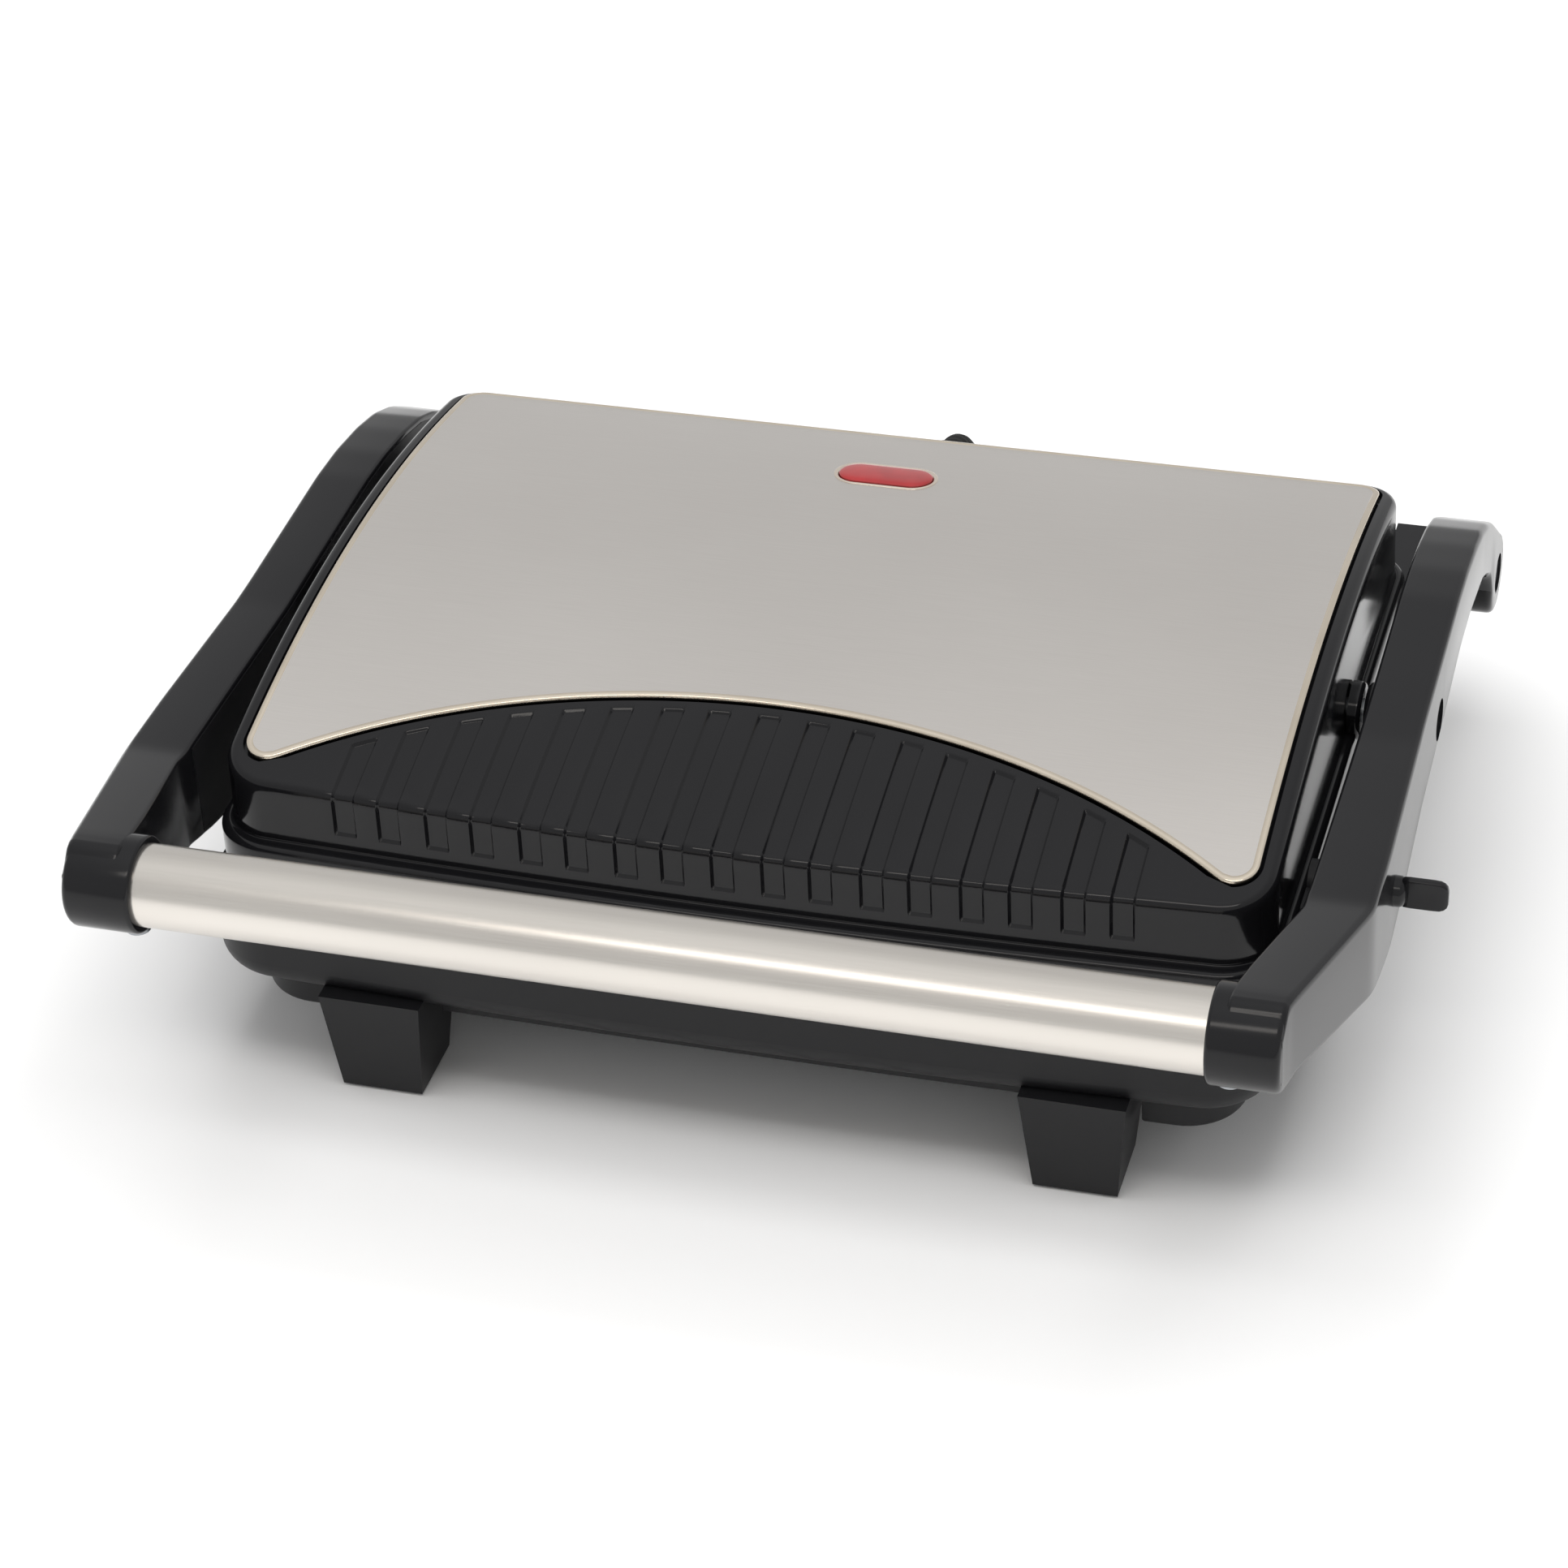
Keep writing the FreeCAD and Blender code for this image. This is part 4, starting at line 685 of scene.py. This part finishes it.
def cut_holes(points, faces, holes):
    """Cuts round holes along X (from, to, y, z, radius) out of a closed mesh."""
    body = plain_object("arm_blank", points, faces)
    for start, end, y, z, radius in holes:
        profile = [(0.0, 0.001), (0.0, radius), (end - start, radius), (end - start, 0.001)]
        cutter = plain_object("hole", *turned(profile, (start, y, z), "X", 48))
        cut = body.modifiers.new("hole", "BOOLEAN")
        cut.operation = "DIFFERENCE"
        cut.solver = "EXACT"
        cut.object = cutter
        shaped = bpy.data.meshes.new_from_object(body.evaluated_get(refreshed()))
        body.modifiers.clear()
        body.data = shaped
        bpy.data.objects.remove(cutter)
    out_points = np.array([v.co for v in body.data.vertices])
    out_faces = [tuple(face.vertices) for face in body.data.polygons]
    bpy.data.objects.remove(body)
    return out_points, out_faces


def refreshed():
    """The evaluated scene after the latest change."""
    bpy.context.view_layer.update()
    return bpy.context.evaluated_depsgraph_get()


def plain_object(name, points, faces):
    """A bare closed mesh in the drawing's millimetres, used only while cutting."""
    mesh = bpy.data.meshes.new(name)
    mesh.from_pydata(np.asarray(points).tolist(), [], faces)
    bm = bmesh.new()
    bm.from_mesh(mesh)
    bmesh.ops.remove_doubles(bm, verts=bm.verts, dist=2e-3)
    bmesh.ops.recalc_face_normals(bm, faces=bm.faces)
    bm.to_mesh(mesh)
    bm.free()
    body = bpy.data.objects.new(name, mesh)
    bpy.context.scene.collection.objects.link(body)
    return body


def round_end(inner, outer, radius, bore, recess, round_in, round_out):
    """Turned disc across the arm: bored, recessed for a pin head, with rounded rims."""
    profile = [(inner, bore), (inner, radius - round_in)]
    profile += [(inner + round_in * (1 - math.cos(a)), radius - round_in + round_in * math.sin(a))
                for a in np.radians((25, 50, 70, 90))]
    profile += [(outer - round_out * (1 - math.sin(a)), radius - round_out + round_out * math.cos(a))
                for a in np.radians((0, 20, 40, 60, 90))]
    if recess:
        profile += [(outer, recess + 0.4), (outer - 0.3, recess), (outer - HEAD_DEPTH, recess),
                    (outer - HEAD_DEPTH, bore)]
    else:
        profile += [(outer, bore)]
    return profile + [(inner, bore)]


def arm_parts(side):
    """One arm: bored blade, round lug for the bar and round eye for the hinge pin."""
    past = ARM_OUTER + 9
    holes = [(ARM_INNER - 9, past, HINGE_Y, HINGE_Z, HINGE_HOLE),
             (ARM_OUTER - HEAD_DEPTH, past, HINGE_Y, HINGE_Z, HEAD_ROUND),
             (ARM_OUTER - HEAD_DEPTH, past, PIVOT_Y, PIVOT_Z, HEAD_ROUND)]
    if side > 0:
        holes.append((ARM_INNER - 9, past, LATCH_Y, LATCH_Z, LATCH_HUB + 0.1))
    blade = cut_holes(*arm_blade(), holes)
    lug = turned(round_end(LUG_INNER, LUG_OUTER, LUG_ROUND, 0.01, 0, 1.0, 1.8), (0, LUG_Y, LUG_Z), "X", 96)
    hinge = turned(round_end(ARM_INNER, ARM_OUTER - 0.04, HINGE_ROUND, HINGE_HOLE, HEAD_ROUND, 1.0, 1.8),
                   (0, HINGE_Y, HINGE_Z), "X", 96)
    points, faces = merge([blade, lug, hinge])
    return points * np.array([side, 1, 1]), faces


for side, word in ((1, "right"), (-1, "left")):
    points, faces = arm_parts(side)
    make_piece(word + "_arm_moulding", points, faces, "arms", SATIN_ARM, word + "_arm",
               sharp=34.0)

# ---------------------------------------------------------------- latch tab


# The tab's sections as (x, half height, half thickness), and the hub as (x, radius).
TAB_SECTIONS = [(156.2, 3.7, 0.9), (156.6, 4.0, 1.05), (158.0, 4.1, 1.1), (163.6, 4.1, 1.1),
                (165.2, 4.0, 1.1), (166.2, 3.6, 1.05), (166.9, 2.9, 0.95), (167.2, 2.0, 0.7)]
HUB_PROFILE = [(134.3, 0.01), (134.3, LATCH_HUB), (155.9, LATCH_HUB), (156.6, 3.5), (157.6, 2.2),
               (157.8, 0.01)]


def latch_tab():
    """Finger tab with rounded corners on a round hub."""
    rows = []
    for x, half_z, half_y in TAB_SECTIONS:
        section = rounded_box(LATCH_Y - half_y, LATCH_Y + half_y, LATCH_Z - half_z, LATCH_Z + half_z,
                              (0.6,) * 4, 4)
        rows.append(np.column_stack([np.full(len(section), x), section]))
    tab = grid_mesh(rows, wrap=True, start_cap=True, end_cap=True)
    return merge([tab, turned(HUB_PROFILE, (0, LATCH_Y, LATCH_Z), "X", 48)])


points, faces = latch_tab()
make_piece("latch_finger_tab", points, faces, "latch", SATIN_ARM, "latch_lever")

# ---------------------------------------------------------------- loom

LOOM_X, LOOM_ROUND, RIB_DEPTH = 7.5, 4.0, 0.35
LOOM_LOWER = [(96.4, 38.0), (108.4, 38.0), (116.4, 48.0), (116.9, 55.5)]
LOOM_UPPER = [(116.9, 55.5), (117.4, 63.0), (106.0, 74.0), (94.0, 74.0)]


def eased_path(corners, count=60):
    """Points along a broken line with its inner corners rounded by tangent curves."""
    pieces = [np.array(corners[0])]
    for before, at, after in zip(corners, corners[1:], corners[2:]):
        before, at, after = (np.array(p, float) for p in (before, at, after))
        reach = 0.45 * min(np.linalg.norm(after - at), np.linalg.norm(before - at))
        first = at + (before - at) / np.linalg.norm(before - at) * reach
        last = at + (after - at) / np.linalg.norm(after - at) * reach
        for t in np.linspace(0, 1, 14):
            pieces.append((1 - t) ** 2 * first + 2 * t * (1 - t) * at + t ** 2 * last)
    pieces.append(np.array(corners[-1]))
    path = np.array(pieces)
    run = np.concatenate([[0], np.cumsum(np.linalg.norm(np.diff(path, axis=0), axis=1))])
    even = np.linspace(0, run[-1], count)
    return np.column_stack([np.interp(even, run, path[:, k]) for k in (0, 1)])


def loom_mesh(corners):
    """Round rubber sleeve along a path in the Y-Z plane, ribbed for bending."""
    path = eased_path(corners)
    slope = np.gradient(path, axis=0)
    slope /= np.linalg.norm(slope, axis=1)[:, None]
    rows = []
    angles = np.linspace(0, 2 * math.pi, 32, endpoint=False)
    for k, (y, z) in enumerate(path):
        ribbed = k % 4 in (2, 3) and 6 < k < 54
        radius = LOOM_ROUND - (RIB_DEPTH if ribbed else 0.0)
        across = np.array([0.0, -slope[k, 1], slope[k, 0]])
        side = np.array([1.0, 0, 0])
        ring = [np.array([LOOM_X, y, z]) + radius * (math.cos(a) * side + math.sin(a) * across)
                for a in angles]
        rows.append(np.array(ring))
    return grid_mesh(rows, wrap=True, start_cap=True, end_cap=True)


def place(x, y, z):
    """One point in the part's frame, in metres."""
    return tuple(into_frame([(x, y, z)])[0])


for word, corners, lower_body, upper_body in (("lower", LOOM_LOWER, "base", "arms"),
                                              ("upper", LOOM_UPPER, "arms", "lid")):
    points, faces = loom_mesh(corners)
    sleeve = make_piece("loom_sleeve_" + word, points, faces, None, RUBBER, "loom_" + word)
    place(LOOM_X, *corners[0])
    place(LOOM_X, *corners[-1])
    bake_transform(sleeve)

# ---------------------------------------------------------------- camera, light, floor

LENS_MM, SENSOR_MM = 102.2, 36.0
TURN, LIFT, ROLL = math.radians(17.855), math.radians(35.091), math.radians(-3.280)
DISTANCE = 1.19498
TARGET = Vector((-0.0298, 0.04185, 0.0076))
FLOOR_REACH = 6.0


def place_camera():
    """Looks down on the press from the front right, turned about TARGET."""
    back = Vector((math.sin(TURN) * math.cos(LIFT), -math.cos(TURN) * math.cos(LIFT), math.sin(LIFT)))
    level = Vector((math.cos(TURN), math.sin(TURN), 0.0))
    upright = back.cross(level)
    right = level * math.cos(ROLL) + upright * math.sin(ROLL)
    up = upright * math.cos(ROLL) - level * math.sin(ROLL)
    camera = bpy.data.objects.new("camera", bpy.data.cameras.new("camera"))
    camera.data.lens = LENS_MM
    camera.data.sensor_width = SENSOR_MM
    camera.data.clip_end = 20.0
    spot = TARGET + back * DISTANCE
    camera.matrix_world = Matrix((
        (right.x, up.x, back.x, spot.x), (right.y, up.y, back.y, spot.y),
        (right.z, up.z, back.z, spot.z), (0.0, 0.0, 0.0, 1.0)))
    bpy.context.scene.collection.objects.link(camera)
    bpy.context.scene.camera = camera


def area_light(name, spot, aim, width, depth, power, colour):
    """A rectangular softbox aimed at a point."""
    light = bpy.data.lights.new(name, "AREA")
    light.shape = "RECTANGLE"
    light.size = width
    light.size_y = depth
    light.energy = power
    light.color = linear(colour)[:3]
    lamp = bpy.data.objects.new(name, light)
    lamp.location = spot
    lamp.rotation_euler = (Vector(aim) - Vector(spot)).to_track_quat("-Z", "Y").to_euler()
    bpy.context.scene.collection.objects.link(lamp)
    return lamp


def studio():
    """Pale paper floor, even walls, a broad fill overhead and a narrow strip in front."""
    floor_mesh = bpy.data.meshes.new("floor")
    corners = [(x * FLOOR_REACH, y * FLOOR_REACH, 0) for x, y in ((-1, -1), (1, -1), (1, 1), (-1, 1))]
    floor_mesh.from_pydata(corners, [], [(0, 1, 2, 3)])
    floor = bpy.data.objects.new("floor", floor_mesh)
    bpy.context.scene.collection.objects.link(floor)
    paper = new_material("pale_backdrop_paper")
    place = add_node(paper, "ShaderNodeTexCoord").outputs["Object"]
    fibre = add_node(paper, "ShaderNodeTexNoise", {"Vector": place}, in_Scale=3.0, in_Detail=2.0)
    shader = add_node(paper, "ShaderNodeBsdfPrincipled", {
        "Base Color": two_tone(paper, fibre.outputs["Fac"], "#F0F0F0", "#F2F2F2")})
    shader.inputs["Roughness"].default_value = 0.9
    floor_mesh.materials.append(finish_material(paper, shader))
    bpy.context.scene.world = sky_dome()
    fill = area_light("overhead_fill", (0.0, 0.1, 2.2), (0, 0.0, 0.0), 2.4, 2.0, 40.0, "#FFFFFF")
    fill.visible_glossy = False
    area_light("front_strip", (0.1, -1.0, 1.4), (0, 0, 0.05), 1.3, 0.22, 3.2, "#FFF9F2")


def sky_dome():
    """Studio walls: an even pale grey all round, a little brighter overhead."""
    world = bpy.data.worlds.new("studio_walls")
    world.use_nodes = True
    away = add_node(world, "ShaderNodeTexCoord").outputs["Generated"]
    height = add_node(world, "ShaderNodeSeparateXYZ", {"Vector": away}).outputs["Z"]
    ramp = add_node(world, "ShaderNodeValToRGB", {"Fac": height})
    stops = ((0.0, 0.55), (0.12, 0.6), (0.35, 0.62), (0.62, 0.6), (0.85, 0.7), (1.0, 0.9))
    while len(ramp.color_ramp.elements) < len(stops):
        ramp.color_ramp.elements.new(0.5)
    for element, (position, level) in zip(ramp.color_ramp.elements, stops):
        element.position = position
        element.color = (level, level, level, 1.0)
    background = world.node_tree.nodes["Background"]
    world.node_tree.links.new(ramp.outputs["Color"], background.inputs["Color"])
    background.inputs["Strength"].default_value = 1.0
    return world


place_camera()
studio()
bpy.context.scene.view_settings.view_transform = "Standard"
